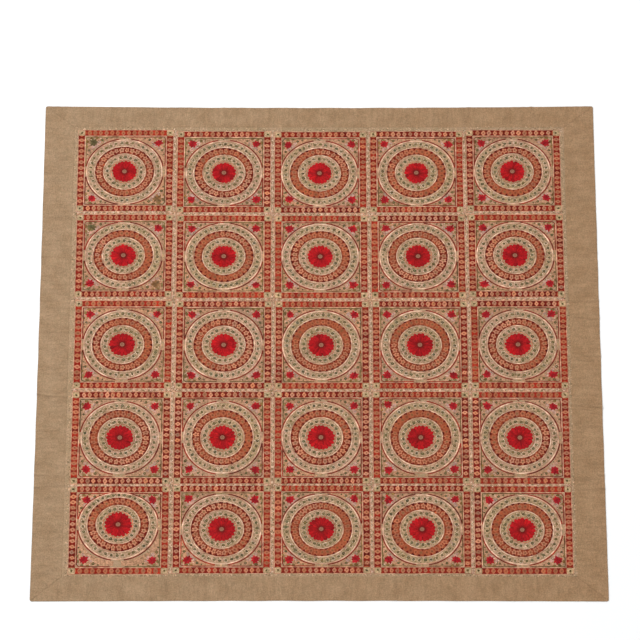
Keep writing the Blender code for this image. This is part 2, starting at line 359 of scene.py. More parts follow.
def painted_crease_shade_at(border, along, across):
    """How light the cloth shows, 1 where it is plain: a narrow line of painted shade on the near
    side of each crease, and a fainter painted highlight on its far side."""
    near_side = 1.0 if border["turn"] == 1 else -1.0
    light = np.ones_like(along)
    for number, crease in enumerate(CREASES):
        if crease["border"] == border["name"]:
            bend = 0.0015 * np.sin(9.0 * across + number)
            away = near_side * (along - crease["at"] - crease["slant"] * across) + bend
            broken = 0.70 + 0.30 * np.sin(14.0 * across + 2.1 * number)
            depth = crease["height"] / TALLEST_CREASE * broken * (0.5 + 0.5 * across)
            light = light - CREASE_SHADE * depth * np.exp(-(((away - 0.003) / 0.0036) ** 2))
            light = light + CREASE_HIGHLIGHT * depth * np.exp(-(((away + 0.005) / 0.0050) ** 2))
    return light


def lay_on(made, map_name, places, colour_name, colours):
    """Gives each point of a mesh its place in a UV map, and its colour in a colour attribute."""
    corners = np.empty(len(made.data.loops), dtype=np.int32)
    made.data.loops.foreach_get("vertex_index", corners)
    layer = made.data.uv_layers.new(name=map_name)
    layer.data.foreach_set("uv", places[corners].astype(np.float32).ravel())
    attribute = made.data.color_attributes.new(name=colour_name, type="FLOAT_COLOR", domain="POINT")
    opaque = np.concatenate([colours, np.ones((len(colours), 1))], axis=1)
    attribute.data.foreach_set("color", opaque.astype(np.float32).ravel())


def rounded(along, out):
    """Draws points that are beyond the quarter circle at either corner in to that circle."""
    centre = HALF - CORNER_ROUNDING
    over_a, over_o = np.maximum(np.abs(along) - centre, 0.0), np.maximum(out - centre, 0.0)
    reach = np.hypot(over_a, over_o)
    factor = np.where(reach > CORNER_ROUNDING, CORNER_ROUNDING / np.maximum(reach, 1e-9), 1.0)
    along = np.where(over_a > 0, np.sign(along) * (centre + over_a * factor), along)
    return along, np.where(over_o > 0, centre + over_o * factor, out)


def border_strip(border, before, after):
    """One strip: lines from mitre to mitre, laid from its seam to its outer edge, which is bowed and a
    little uneven. It dips at the seam, the mitres and the hem's stitching, and rises in its creases,
    slow waves and fine wrinkles."""
    seam = border["seam"]
    across = lines_between(seam, HALF, INNER_LINES, OUTER_LINES, ACROSS_STEP)
    share = ((across - seam) / (HALF - seam))[:, None]
    low = -before - (HALF - before) * share
    high = after + (HALF - after) * share
    ends = lines_between(0.0, 2 * HALF, END_LINES, END_LINES, BORDER_STEP) / (2 * HALF)
    along = low + (high - low) * ends[None, :]
    to_mitre = np.minimum(along - low, high - along) / math.sqrt(2)
    to_seam = across[:, None] - seam + 0.0 * along
    to_edge = HALF - across[:, None] + 0.0 * along
    crease = creases_at(border["name"], along, share)
    slow = np.sin(9.0 * along + border["turn"]) + 0.7 * np.sin(23.0 * along + 14.0 * share)
    fine = np.sin(171.0 * along + 3.0 * share) * np.sin(13.0 * along + 2.0 * border["turn"]) ** 2
    lift = crease + 0.00022 * (slow + 1.5) * share + 0.0005 * (1.0 + fine) * share
    top = BORDER_TOP + lift
    top = top - 0.0008 * np.exp(-((to_seam / SEAM_DIP) ** 2))
    top = top - 0.0007 * np.exp(-((to_mitre / SEAM_DIP) ** 2))
    top = top - 0.0005 * np.exp(-(((to_edge - HEM) / 0.0014) ** 2))
    top = top + 0.0003 * (to_edge < HEM)
    top = top - 0.0012 * np.exp(-((to_edge / 0.0009) ** 2))
    under = np.where(to_seam < 0.006, BORDER_CLEAR, CLOTH_UNDER) + lift
    bow = border["bow"] * np.maximum(0.0, 1.0 - (along / (HALF - CORNER_ROUNDING)) ** 2)
    out = seam + (HALF - bow - seam) * share
    uneven = 0.0006 * np.sin(31.0 * along) * np.clip(1.0 - (along / (HALF - 0.05)) ** 2, 0.0, 1.0)
    out = out - uneven * share
    # The colour also darkens along the mitres: painted shade in the seams.
    light = painted_crease_shade_at(border, along, share) - MITRE_SHADE * np.exp(-((to_mitre / SEAM_DIP) ** 2))
    along, out = rounded(along, out)
    x, y = -along, out
    for _ in range(border["turn"]):
        x, y = -y, x
    x, y, top, under, along, out, light = (
        grid[:, ::-1] for grid in (x, y, top, under, along, out, light)
    )
    strip = sheet_object(border["name"] + "_cloth", x, y, top, under)
    place = np.stack([along, out], axis=-1).reshape(-1, 2)
    # The painted shade and highlights go onto the strip as a colour attribute.
    lay_on(strip, "cloth", np.tile(place, (2, 1)), "painted_shade", np.tile(light.reshape(-1, 1), (2, 3)))
    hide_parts(border["name"])
    return strip


border_cotton = woven_cotton(
    "border_cotton", (seen(164, 132, 99), seen(170, 138, 105), seen(175, 143, 110)),
    right_tint=(0.505, 0.475, 0.445), painted_wrinkles=True,
)
for number, border in enumerate(BORDERS):
    strip = border_strip(border, BORDERS[number - 1]["seam"], BORDERS[(number + 1) % 4]["seam"])
    strip.data.materials.append(border_cotton)
    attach(strip, "root")


# Each medallion has two beige rings, worked solid in rows of chain stitch that run round it.
# They are the ground for the green florets, and stand a little above the cloth, softly domed.
BAND = 0.026  # width of the bands of a tile's frame
BEIGE_RINGS = ((0.0565, 0.0865), (0.1260, 0.1540))
BEIGE_HEIGHT = 0.0006
SQUEEZED_FROM = 0.123  # radius beyond which a medallion is squeezed where it lacks room
OUTERMOST = 0.1630  # radius of a medallion's outer edge
RING_STEPS = 84
SUNK = 0.0003  # how far the edges of pads and cords lie below the top of the cloth
EDGE_WANDER = 0.0008

# off and up are how far a medallion is from the middle of its frame, stretch is its height over its
# width, and flower is the radius of the red flower in it
COLUMNS = (
    {"frame_width": 0.394, "off": -0.003},
    {"frame_width": 0.386, "off": 0.000},
    {"frame_width": 0.379, "off": -0.004},
    {"frame_width": 0.384, "off": -0.001},
    {"frame_width": 0.388, "off": -0.005},
)
ROWS = (
    {"frame_height": 0.389, "up": -0.005, "stretch": 0.980, "flower": 0.0520},
    {"frame_height": 0.388, "up": 0.001, "stretch": 0.985, "flower": 0.0535},
    {"frame_height": 0.404, "up": -0.001, "stretch": 1.008, "flower": 0.0545},
    {"frame_height": 0.416, "up": 0.000, "stretch": 1.030, "flower": 0.0560},
    {"frame_height": 0.389, "up": 0.000, "stretch": 0.980, "flower": 0.0552},
)
ODD_MEDALLIONS = {(5, 1): 0.024}  # sewn above the middle of its frame, by this much
luck = np.random.default_rng(11)

tiles = []
for row in range(1, 6):
    for column in range(1, 6):
        low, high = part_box(f"mirror_{row}_{column}")
        middle = (low + high) / 2
        tile = ROWS[row - 1] | COLUMNS[column - 1] | {"x": middle.x, "y": middle.y}
        tile["up"] += ODD_MEDALLIONS.get((row, column), 0.0)
        tile["row"], tile["column"] = row, column
        tile["frame_x"], tile["frame_y"] = middle.x - tile["off"], middle.y - tile["up"]
        tile["half_x"], tile["half_y"] = tile["frame_width"] / 2, tile["frame_height"] / 2
        room = (tile["half_y"] - BAND - tile["up"]) / tile["stretch"] - SQUEEZED_FROM
        tile["squeeze"] = min(1.0, room / (OUTERMOST - SQUEEZED_FROM))
        tile["warmth"], tile["phase"] = luck.uniform(-1.0, 1.0), luck.uniform(0.0, 6.3)
        tile["flower"] += luck.uniform(-0.0012, 0.0012)
        tile["faded"] = luck.uniform(0.30, 0.90)
        tiles.append(tile)


def on_ring(tile, radius, angle):
    """The point of a medallion at this radius and angle, drawn out along Y by the tile's stretch.
    What is beyond the red ring is squeezed at the top, where the medallion is too near its frame."""
    upward = np.clip(np.sin(angle), 0.0, 1.0) ** 2
    beyond = np.maximum(radius - SQUEEZED_FROM, 0.0)
    radius = radius - beyond * (1.0 - tile["squeeze"]) * upward
    x = tile["x"] + radius * np.cos(angle)
    return x, tile["y"] + tile["stretch"] * radius * np.sin(angle)


def dyed(colour, count, spread=0.10):
    """A row of count colours, each a little lighter or darker, and a little warmer or cooler."""
    light = 1.0 + spread * luck.normal(size=(count, 1))
    warm = 1.0 + 0.35 * spread * luck.normal(size=(count, 1)) * np.array([[1.0, 0.0, -1.0]])
    return np.clip(colour[None, :] * np.clip(light, 0.6, 1.5) * warm, 0.0, 1.0)


def fade(tile, angle):
    """How far a medallion's threads are faded at this angle, from 0 to 1: its own share of fading, one
    side more than the other, with a smaller change that goes round three times."""
    change = 0.30 * np.sin(angle + tile["phase"]) + 0.15 * np.sin(3 * angle + 2 * tile["phase"])
    return np.clip(tile["faded"] + change, 0.0, 1.0)


def grid_part(x, y, z, along, across, dye, closed=False):
    """A part of an embroidered piece, from a grid: its points, its faces, each point's place along and
    across the stitches in metres, and each point's dye."""
    rows, columns = z.shape
    along, across = np.broadcast_to(along, z.shape), np.broadcast_to(across, z.shape)
    return {
        "points": np.stack([x, y, z], axis=-1).reshape(-1, 3),
        "quads": grid_quads(rows, columns, closed),
        "stitch": np.stack([along, across], axis=-1).reshape(-1, 2),
        "dye": np.broadcast_to(dye, (rows, columns, 3)).reshape(-1, 3),
    }


def ring_pad(tile, inner, outer, height, fresh, faded):
    """A stitched ring: a domed profile from its outer to its inner edge, carried round the medallion.
    Both edges wander a little, and the dye goes from fresh to faded round it."""
    angle = np.arange(RING_STEPS) * 2 * math.pi / RING_STEPS
    across = np.linspace(0.0, 1.0, 6)[:, None]
    wander = EDGE_WANDER * np.sin(3 * angle + luck.uniform(0, 6.3)) * np.ones_like(across)
    radius = outer + (inner - outer) * across + wander
    x, y = on_ring(tile, radius, angle)
    dome = np.clip(4.0 * across * (1.0 - across), 0.0, 1.0) ** 0.4
    z = lie(x, y) - SUNK + (height + SUNK) * dome
    tint = fresh + (faded - fresh) * fade(tile, angle)[:, None]
    tint = tint * (1.0 + 0.05 * tile["warmth"])
    return grid_part(x, y, z, 0.5 * (inner + outer) * angle, radius, tint, closed=True)


def embroider(name, parts, thread):
    """One piece from parts, joined end to end. Their places along and across the stitches become a UV
    map, and their dyes a colour attribute."""
    starts = np.cumsum([0] + [len(part["points"]) for part in parts])
    quads = np.concatenate([part["quads"] + start for part, start in zip(parts, starts)])
    points, stitch, dye = (
        np.concatenate([part[kind] for part in parts]) for kind in ("points", "stitch", "dye")
    )
    made = mesh_object(name, points, quads)
    lay_on(made, "stitch", stitch, "dye", dye)
    made.data.materials.append(thread)
    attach(made, "root")


class StitchNodes(Nodes):
    """Nodes that also read a stitched part: its stitch map, the two directions of that map, the place
    on the coverlet and the dye."""

    def __init__(self, name, roughness, sheen):
        """A new material as in Nodes, and what it reads."""
        super().__init__(name, roughness, sheen)
        self.uv = self.add("ShaderNodeUVMap", uv_map="stitch").outputs[0]
        split = self.feed(self.add("ShaderNodeSeparateXYZ"), self.uv)
        self.along, self.across = split.outputs["X"], split.outputs["Y"]
        self.place = self.add("ShaderNodeTexCoord").outputs["Object"]
        self.dye = self.add("ShaderNodeVertexColor", layer_name="dye").outputs["Color"]


def chain_stitch(name, row_pitch, link_pitch, shine):
    """Rows of chain stitch: ridges across the stitch map with the row's pitch, each cut into links by
    a wave along it that leans one way on one half of the ridge and the other way on the other."""
    made = StitchNodes(name, roughness=0.62, sheen=shine)
    row = made.math("MULTIPLY", made.across, 2 * math.pi / row_pitch)
    ridge = made.math("SINE", row)
    lean = made.math("ABSOLUTE", made.math("COSINE", made.math("MULTIPLY", row, 0.5)))
    link = made.math("MULTIPLY", made.along, 2 * math.pi / link_pitch)
    links = made.math("SINE", made.math("MULTIPLY_ADD", lean, 2.2, link))
    height = made.math("MULTIPLY_ADD", links, 0.5, ridge)
    mottle = made.noise(made.place, 130.0, detail=3.0)
    dye = made.speckle(made.dye, made.place, 150.0, (0.36, 0.37, 0.33), (0.64, 0.62, 0.64))
    lighter = made.math("MULTIPLY_ADD", mottle, 1.2, 0.40)
    # Ridges of the chain a little lighter and its grooves darker: painted shade that follows the bump.
    lighter = made.math("MULTIPLY_ADD", height, 0.05, lighter)
    return made.finish(made.shade(dye, lighter), height, strength=0.6, depth=0.0004)


beige_chain = chain_stitch("beige_chain_stitch", row_pitch=0.0030, link_pitch=0.0045, shine=0.05)
PINK_BEIGE, GREEN_BEIGE = seen(188, 148, 120), seen(176, 146, 108)
rings = [
    ring_pad(tile, inner, outer, BEIGE_HEIGHT, PINK_BEIGE, GREEN_BEIGE)
    for tile in tiles
    for inner, outer in BEIGE_RINGS
]
embroider("beige_rings", rings, beige_chain)


# The wide red ring between the two beige ones is laid in satin stitch, its threads running outwards.
# It is padded, so it stands above the rings on either side of it.
RED_RING_INNER, RED_RING_OUTER = 0.0885, 0.1235
RED_RING_HEIGHT = 0.0010
DARK_BRICK, BRICK = seen(122, 42, 22), seen(168, 84, 52)


def satin_stitch(name, pitch, shine, roughness=0.5):
    """Laid threads: fine ridges across the stitch map, which run along it, with some threads lighter
    than others from noise that is drawn out along them."""
    made = StitchNodes(name, roughness=roughness, sheen=shine)
    ridge = made.math("SINE", made.math("MULTIPLY", made.across, 2 * math.pi / pitch))
    streaks = made.noise(made.uv, 900.0, stretch=(0.12, 1.0, 1.0))
    mottle = made.noise(made.place, 90.0, detail=3.0)
    dye = made.speckle(made.dye, made.place, 210.0, (0.43, 0.40, 0.40), (0.57, 0.60, 0.60))
    lighter = made.math("MULTIPLY_ADD", mottle, 0.80, 0.35)
    lighter = made.math("MULTIPLY_ADD", streaks, 0.50, lighter)
    # Threads a little lighter on their ridges and darker between them: painted shade that follows the
    # bump.
    lighter = made.math("MULTIPLY_ADD", ridge, 0.05, lighter)
    height = made.math("MULTIPLY_ADD", streaks, 1.2, ridge)
    return made.finish(made.shade(dye, lighter), height, strength=0.5, depth=0.0003)


def across_stitches(part):
    """The same part with its threads running the other way: its stitch map's two directions swapped."""
    return dict(part, stitch=part["stitch"][:, ::-1])


red_satin = satin_stitch("red_satin_stitch", pitch=0.0009, shine=0.0)
red_ring = RED_RING_INNER, RED_RING_OUTER, RED_RING_HEIGHT, DARK_BRICK, BRICK
rings = [across_stitches(ring_pad(tile, *red_ring)) for tile in tiles]
embroider("red_rings", rings, red_satin)


# Cream cords are couched down along both edges of the red ring and round the whole medallion.
# Each is a twist of thick cotton, held by small stitches over it.
CREAM_CORDS = (
    (0.0870, {"half_width": 0.0018, "height": 0.0013, "base": 0.0003}),
    (0.1252, {"half_width": 0.0020, "height": 0.0015, "base": 0.0003}),
    (0.1560, {"half_width": 0.0026, "height": 0.0015, "base": 0.0003}),
)
CREAM = seen(245, 202, 172)


def couched_cord(path, dye, half_width, height, base, closed=False):
    """A cord along a path of (x, y) points: a half-round profile, from its right to its left edge,
    carried along the path, base above the cloth, and turned to stay square to the path."""
    if closed:
        ahead = np.roll(path, -1, axis=0) - np.roll(path, 1, axis=0)
    else:
        ahead = np.gradient(path, axis=0)
    ahead = ahead / np.linalg.norm(ahead, axis=1, keepdims=True)
    left = np.stack([-ahead[:, 1], ahead[:, 0]], axis=-1)
    lean = np.linspace(-math.pi / 2, math.pi / 2, 5)
    sideways = (half_width * np.sin(lean))[:, None, None]
    flat = path[None, :, :] + sideways * left[None, :, :]
    x, y = flat[..., 0], flat[..., 1]
    z = lie(x, y) + base - SUNK + ((height + SUNK) * np.cos(lean))[:, None]
    along = np.cumsum(np.linalg.norm(np.diff(path, axis=0, append=path[:1]), axis=1))
    return grid_part(x, y, z, along, (half_width * lean)[:, None], dye, closed)


def twisted_cord(name, pitch, shine):
    """A twisted cord: slanting ridges over the stitch map, with the twist's pitch along the cord."""
    made = StitchNodes(name, roughness=0.6, sheen=shine)
    lean = made.math("MULTIPLY", made.across, math.pi / pitch)
    ridge = made.math("SINE", made.math("MULTIPLY_ADD", made.along, 2 * math.pi / pitch, lean))
    mottle = made.noise(made.place, 70.0, detail=3.0)
    dye = made.speckle(made.dye, made.place, 24.0, (0.30, 0.22, 0.19), (0.59, 0.58, 0.57))
    lighter = made.math("MULTIPLY_ADD", mottle, 1.6, 0.20)
    # The cord's twists lighter on top and darker between them: painted shade that follows the bump.
    lighter = made.math("MULTIPLY_ADD", ridge, 0.10, lighter)
    return made.finish(made.shade(dye, lighter), ridge, strength=0.7, depth=0.0005)


def ring_path(tile, radius, waves=0, depth=0.0, steps=RING_STEPS):
    """A closed path round the medallion. With waves, it swings in and out that many times."""
    angle = np.arange(steps) * 2 * math.pi / steps
    wander = 0.0007 * np.sin(3 * angle + luck.uniform(0, 6.3))
    swing = depth * np.abs(np.cos(waves * angle / 2))
    return np.stack(on_ring(tile, radius + wander + swing, angle), axis=-1)


cotton_cord = twisted_cord("cotton_cord", pitch=0.0032, shine=0.05)
cords = []
for tile in tiles:
    for radius, sizes in CREAM_CORDS:
        path = ring_path(tile, radius)
        cords.append(couched_cord(path, dyed(CREAM, 1, spread=0.04), **sizes, closed=True))
embroider("cream_cords", cords, cotton_cord)


# Small green florets stand round both beige rings, each on a pale halo. They are rings of buttonhole
# stitches in dark green cotton round a pale knot, with a notched rim where one stitch meets the next.
GREEN_RINGS = (
    {"radius": 0.0712, "count": 20, "size": 0.0066},
    {"radius": 0.1408, "count": 38, "size": 0.0063},
)
GREEN = seen(98, 84, 46)
PALE_KNOT = seen(172, 146, 108)
HALO = seen(203, 170, 142)
HALO_SIZE = 0.0098
MOTIF_SUNK = 0.0002  # how far the rims of the small motifs lie below what they are stitched on


def motif(x, y, z, heart):
    """A motif to be stamped: a grid's points and faces, and how far each point takes the heart's
    colour, from 0 to 1."""
    return {
        "points": np.stack([x, y, z], axis=-1).reshape(-1, 3),
        "quads": grid_quads(*z.shape),
        "heart": heart.ravel(),
    }


def round_shape(petals, notch, steps=6, hollow=0.0, heart=1.0):
    """A round motif: a square of two parameters from -1 to 1 drawn out to a disc, its rim notched
    between the petals, and its height a dome that a hollow makes into a ring. The share of the
    heart's colour falls from the middle, and is wider the more heart it has."""
    u, v = np.meshgrid(np.linspace(-1, 1, steps + 1), np.linspace(-1, 1, steps + 1))
    x, y = u * np.sqrt(1 - v**2 / 2), v * np.sqrt(1 - u**2 / 2)
    reach, angle = np.hypot(x, y), np.arctan2(y, x)
    rim = 1.0 - notch * (0.5 - 0.5 * np.cos(petals * angle)) * reach
    dome = np.sqrt(np.clip(1.0 - reach**2, 0.0, 1.0)) - hollow * np.clip(1.0 - 2.2 * reach, 0.0, 1.0)
    heart = np.clip(heart * np.clip(1.5 - 3.2 * reach, 0.0, 1.0), 0.0, 1.0)
    return motif(x * rim, y * rim, dome, heart)


def stamped(shape, x, y, turn, length, width, dye, heart=None, *, height, base):
    """Copies of a shape, one for each x: made length by width by height, turned, and set on the cloth,
    base above it. dye is one colour a copy, which changes to heart's towards the shape's middle."""
    count, size = len(x), len(shape["points"])
    px = np.outer(length * np.ones(count), shape["points"][:, 0])
    py = np.outer(width * np.ones(count), shape["points"][:, 1])
    turn = (turn * np.ones(count))[:, None]
    at_x = x[:, None] + np.cos(turn) * px - np.sin(turn) * py
    at_y = y[:, None] + np.sin(turn) * px + np.cos(turn) * py
    rise = np.outer(height * np.ones(count), shape["points"][:, 2])
    z = lie(at_x, at_y) + base - MOTIF_SUNK + rise
    heart = dye if heart is None else heart
    share = shape["heart"][None, :, None]
    tint = dye[:, None, :] * (1.0 - share) + heart[:, None, :] * share
    quads = shape["quads"][None, :, :] + (np.arange(count) * size)[:, None, None]
    return {
        "points": np.stack([at_x, at_y, z], axis=-1).reshape(-1, 3),
        "quads": quads.reshape(-1, 4),
        "stitch": np.stack([px, py], axis=-1).reshape(-1, 2),
        "dye": tint.reshape(-1, 3),
    }


def ring_of_places(tile, radius, count, stray):
    """Places evenly round a medallion, each strayed a little, and the angle that each faces."""
    angle = (np.arange(count) + luck.uniform(0, 1)) * 2 * math.pi / count
    angle = angle + luck.normal(size=count) * stray / radius
    x, y = on_ring(tile, radius + luck.normal(size=count) * stray, angle)
    return x, y, angle


def about(size, count, spread=0.08):
    """A row of count sizes, each a little over or under this one."""
    return size * (1.0 + spread * luck.normal(size=count))


def radial_stitch(name, threads, shine):
    """Stitches that run out from the middle of a small motif: ridges that go round with the angle."""
    made = StitchNodes(name, roughness=0.62, sheen=shine)
    angle = made.math("ARCTAN2", made.across, made.along)
    ridge = made.math("SINE", made.math("MULTIPLY", angle, float(threads)))
    mottle = made.noise(made.place, 260.0, detail=2.0)
    lighter = made.math("MULTIPLY_ADD", mottle, 0.6, 0.68)
    # Stitches a little lighter on their ridges and darker between them: painted shade that follows the
    # bump.
    lighter = made.math("MULTIPLY_ADD", ridge, 0.06, lighter)
    return made.finish(made.shade(made.dye, lighter), ridge, strength=0.6, depth=0.0003)


buttonhole = radial_stitch("buttonhole_stitch", threads=24, shine=0.04)
green_floret = round_shape(petals=8, notch=0.22, steps=4, hollow=0.8, heart=1.5)
halo = round_shape(petals=6, notch=0.25, steps=3)
florets, halos = [], []
for tile in tiles:
    for ring in GREEN_RINGS:
        count = ring["count"]
        x, y, angle = ring_of_places(tile, ring["radius"], count, stray=0.0010)
        tone = dyed(HALO, count, spread=0.12)
        halos.append(
            stamped(halo, x, y, angle, HALO_SIZE, HALO_SIZE, tone, height=0.0004, base=0.0007)
        )
        size = about(ring["size"], count, 0.10), about(ring["size"], count, 0.10)
        rim, knot = dyed(GREEN, count, spread=0.25), dyed(PALE_KNOT, count, spread=0.25)
        florets.append(
            stamped(green_floret, x, y, angle, *size, rim, knot, height=0.0010, base=0.0012)
        )
embroider("green_florets", florets, buttonhole)
embroider("pale_halos", halos, beige_chain)


# Seed stitches in odd ends of thread, cream, pink and sage, are scattered over the beige rings.
# They fill the ground round the florets and hide the rows of chain stitch under them.
SEED_TONES = (seen(236, 202, 174), seen(216, 160, 142), seen(142, 128, 86), seen(116, 98, 58))
SEED_COUNTS = (130, 230)
SEED_SIZE = 0.0032
seed_stitch = round_shape(petals=2, notch=0.0, steps=2)


def scattered(x, y, size):
    """Seed stitches at these places, each turned at random and in one of the seed tones."""
    count = len(x)
    dye = np.array(SEED_TONES)[luck.integers(len(SEED_TONES), size=count)]
    dye = np.clip(dye * (1.0 + 0.15 * luck.normal(size=(count, 1))), 0.0, 1.0)
    turn = luck.uniform(0, math.pi, size=count)
    length = about(size, count, 0.2)
    return stamped(seed_stitch, x, y, turn, length, 0.45 * size, dye, height=0.0006, base=0.0009)


seeds = []
for tile in tiles:
    for (inner, outer), count in zip(BEIGE_RINGS, SEED_COUNTS):
        radius = luck.uniform(inner + 0.003, outer - 0.003, size=count)
        x, y = on_ring(tile, radius, luck.uniform(0, 2 * math.pi, size=count))
        seeds.append(scattered(x, y, SEED_SIZE))
embroider("ring_seeds", seeds, buttonhole)


# Salmon florets stand close together round the red ring, each in satin stitch with five full petals.
# They are palest where the ring is dark, and come close to its colour where it is faded. Between
# them, towards both edges, show dark red darts of the ground.
SALMON_RADIUS = 0.1060
SALMON_COUNT = 30
SALMON_LENGTH, SALMON_WIDTH = 0.0142, 0.0116
SALMON = seen(178, 96, 62)
PALE_SALMON = seen(216, 146, 112)
OLIVE = seen(126, 92, 52)
DARK_RED = seen(104, 22, 12)


def mixed(first, second, count, spread):
    """A row of count colours, each somewhere between two, and a little lighter or darker."""
    share = luck.uniform(0, 1, size=(count, 1))
    return dyed(first, count, spread) * (1 - share) + dyed(second, count, spread) * share


salmon_floret = round_shape(petals=5, notch=0.40, steps=6, hollow=0.5, heart=1.6)
floss = radial_stitch("floss_stitch", threads=28, shine=0.05)
florets = []
for tile in tiles:
    x, y, angle = ring_of_places(tile, SALMON_RADIUS, SALMON_COUNT, stray=0.0006)
    faded = fade(tile, angle)[:, None]
    tone = dyed(PALE_SALMON, SALMON_COUNT, spread=0.12) * (1 - faded)
    tone = tone + dyed(SALMON, SALMON_COUNT, spread=0.12) * faded
    turn = angle + luck.normal(size=SALMON_COUNT) * 0.3 + math.pi * luck.integers(2, size=SALMON_COUNT)
    size = about(SALMON_LENGTH, SALMON_COUNT), about(SALMON_WIDTH, SALMON_COUNT)
    knot = mixed(OLIVE, DARK_BRICK, SALMON_COUNT, 0.15)
    florets.append(
        stamped(salmon_floret, x, y, turn, *size, tone, knot, height=0.0009, base=RED_RING_HEIGHT)
    )
embroider("salmon_florets", florets, floss)


def dart_shape():
    """A three-sided dart, x from its foot at 0 to its point at 1 and y across, narrowing to the point,
    with a height that is domed across it."""
    u, v = np.meshgrid(np.linspace(0, 1, 3), np.linspace(-1, 1, 3))
    return motif(u, v * (1.0 - 0.9 * u), (1 - v**2) * (1 - 0.6 * u), np.zeros_like(u))


DARTS = (
    {"radius": RED_RING_OUTER - 0.001, "length": 0.0125, "turn": math.pi, "lighter": DARK_RED},
    {"radius": RED_RING_INNER + 0.001, "length": 0.0095, "turn": 0.0, "lighter": BRICK},
)
DART_WIDTH = 0.0064
dart = dart_shape()
darts = []
for tile in tiles:
    for kind in DARTS:
        x, y, angle = ring_of_places(tile, kind["radius"], SALMON_COUNT, stray=0.0004)
        size = kind["length"], about(DART_WIDTH, SALMON_COUNT, 0.15)
        tone = mixed(DARK_RED, kind["lighter"], SALMON_COUNT, 0.20)
        turn = angle + kind["turn"]
        darts.append(stamped(dart, x, y, turn, *size, tone, height=0.0006, base=RED_RING_HEIGHT))
embroider("red_darts", darts, red_satin)


# The flower at the heart of each medallion is padded satin stitch in bright red floss silk.
# Two rounds of petals overlap, the inner ones shorter, and their roots are dark maroon.
PETAL_COUNT = 20
PETAL_ROOT = 0.0105
FLOWER_RED = seen(180, 24, 28)
MAROON = seen(118, 24, 20)


def petal_shape(steps_along, steps_across):
    """A petal: x from its root at 0 to its tip at 1, y across, its width growing from a quarter to
    full and rounded off at the tip, its height domed across and falling to both ends. The grid
    lines across it are closer together towards the tip."""
    u, v = np.meshgrid(np.linspace(0, 1, steps_along + 1), np.linspace(-1, 1, steps_across + 1))
    u = 1.0 - (1.0 - u) ** 1.7
    width = (0.25 + 0.75 * u) * np.sqrt(1.0 - 0.94 * u**14)
    dome = np.sqrt(np.clip(1.0 - v**2, 0.0, 1.0)) * (0.55 + 0.45 * np.sin(math.pi * u))
    return motif(u, v * width, dome, np.clip(1.0 - 1.6 * u, 0.0, 1.0) ** 1.5)


flower_satin = satin_stitch("flower_satin_stitch", pitch=0.0008, shine=0.0, roughness=0.45)
long_petal, short_petal = petal_shape(7, 4), petal_shape(4, 4)
petals = []
for tile in tiles:
    rounds = (
        (long_petal, tile["flower"] - 0.0012, 0.0, 0.0089, {"height": 0.0017, "base": 0.0004}),
        (short_petal, 0.0360, 0.5, 0.0056, {"height": 0.0014, "base": 0.0011}),
    )
    for shape, reach, shift, half_width, lift in rounds:
        angle = (np.arange(PETAL_COUNT) + shift) * 2 * math.pi / PETAL_COUNT + tile["warmth"]
        angle = angle + luck.normal(size=PETAL_COUNT) * 0.02
        x, y = on_ring(tile, PETAL_ROOT, angle)
        length = about(reach - PETAL_ROOT, PETAL_COUNT, 0.02)
        red = dyed(FLOWER_RED * (1.0 + 0.08 * tile["warmth"]), PETAL_COUNT, spread=0.13)
        root = dyed(MAROON, PETAL_COUNT, spread=0.10)
        petals.append(stamped(shape, x, y, angle, length, half_width, red, root, **lift))
embroider("flower_petals", petals, flower_satin)
grounds = [
    ring_pad(tile, 0.0090, tile["flower"] - 0.0025, BEIGE_HEIGHT, MAROON, MAROON) for tile in tiles
]
embroider("flower_grounds", grounds, flower_satin)


# A scalloped line of pale salmon cord runs round the tips of the petals.
# It swings out and in once for each, and as many small cream knots are set along it.
EDGE_SALMON = seen(206, 132, 98)
SCALLOP = {"half_width": 0.0016, "height": 0.0010, "base": 0.0005}
PETAL_KNOT = 0.0019, 0.0017
scallops, knots = [], []
for tile in tiles:
    path = ring_path(tile, tile["flower"] + 0.0020, waves=PETAL_COUNT, depth=0.0022, steps=160)
    tone = dyed(EDGE_SALMON, 1, spread=0.10)
    scallops.append(couched_cord(path, tone, **SCALLOP, closed=True))
    x, y, angle = ring_of_places(tile, tile["flower"] + 0.0038, PETAL_COUNT, stray=0.0005)
    tone = dyed(CREAM, PETAL_COUNT, spread=0.15)
    knots.append(stamped(seed_stitch, x, y, angle, *PETAL_KNOT, tone, height=0.0011, base=0.0008))
embroider("scalloped_lines", scallops, cotton_cord)
embroider("petal_knots", knots, buttonhole)


# The mirrors are small rounds of thin glass, a little dulled, each held by a raised ring of grey-beige
# stitches over its rim. Round that ring is a narrow one of maroon, where the petals begin.
MIRROR_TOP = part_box("mirror_1_1")[1].z
EYE_INNER, EYE_OUTER = 0.0060, 0.0094
EYE_STEPS = 24
MAROON_INNER, MAROON_OUTER = 0.0090, 0.0142
GREY_BEIGE = seen(168, 116, 92)


def mirror_ring(tile, inner, outer, profile, colour):
    """A ring round the mirror: the profile's (share of the way in, height) points, carried round."""
    share, height = (np.array(column)[:, None] for column in zip(*profile))
    angle = np.arange(EYE_STEPS) * 2 * math.pi / EYE_STEPS
    x, y = on_ring(tile, outer + (inner - outer) * share, angle)
    dye = dyed(colour, 1, spread=0.05)
    return grid_part(x, y, height + 0.0 * x, x - tile["x"], y - tile["y"], dye, closed=True)


EYE_PROFILE = (
    (0.0, 0.0026),
    (0.12, MIRROR_TOP - 0.0001),
    (0.4, MIRROR_TOP + 0.0008),
    (0.75, MIRROR_TOP + 0.0008),
    (0.95, MIRROR_TOP + 0.0004),
    (1.0, MIRROR_TOP - 0.0002),
)
rings = [mirror_ring(tile, EYE_INNER, EYE_OUTER, EYE_PROFILE, GREY_BEIGE) for tile in tiles]
embroider("mirror_stitches", rings, buttonhole)
MAROON_PROFILE = ((0.0, 0.0022), (0.2, 0.0037), (0.7, 0.0040), (1.0, 0.0030))
rings = [mirror_ring(tile, MAROON_INNER, MAROON_OUTER, MAROON_PROFILE, MAROON) for tile in tiles]
embroider("maroon_rings", rings, buttonhole)


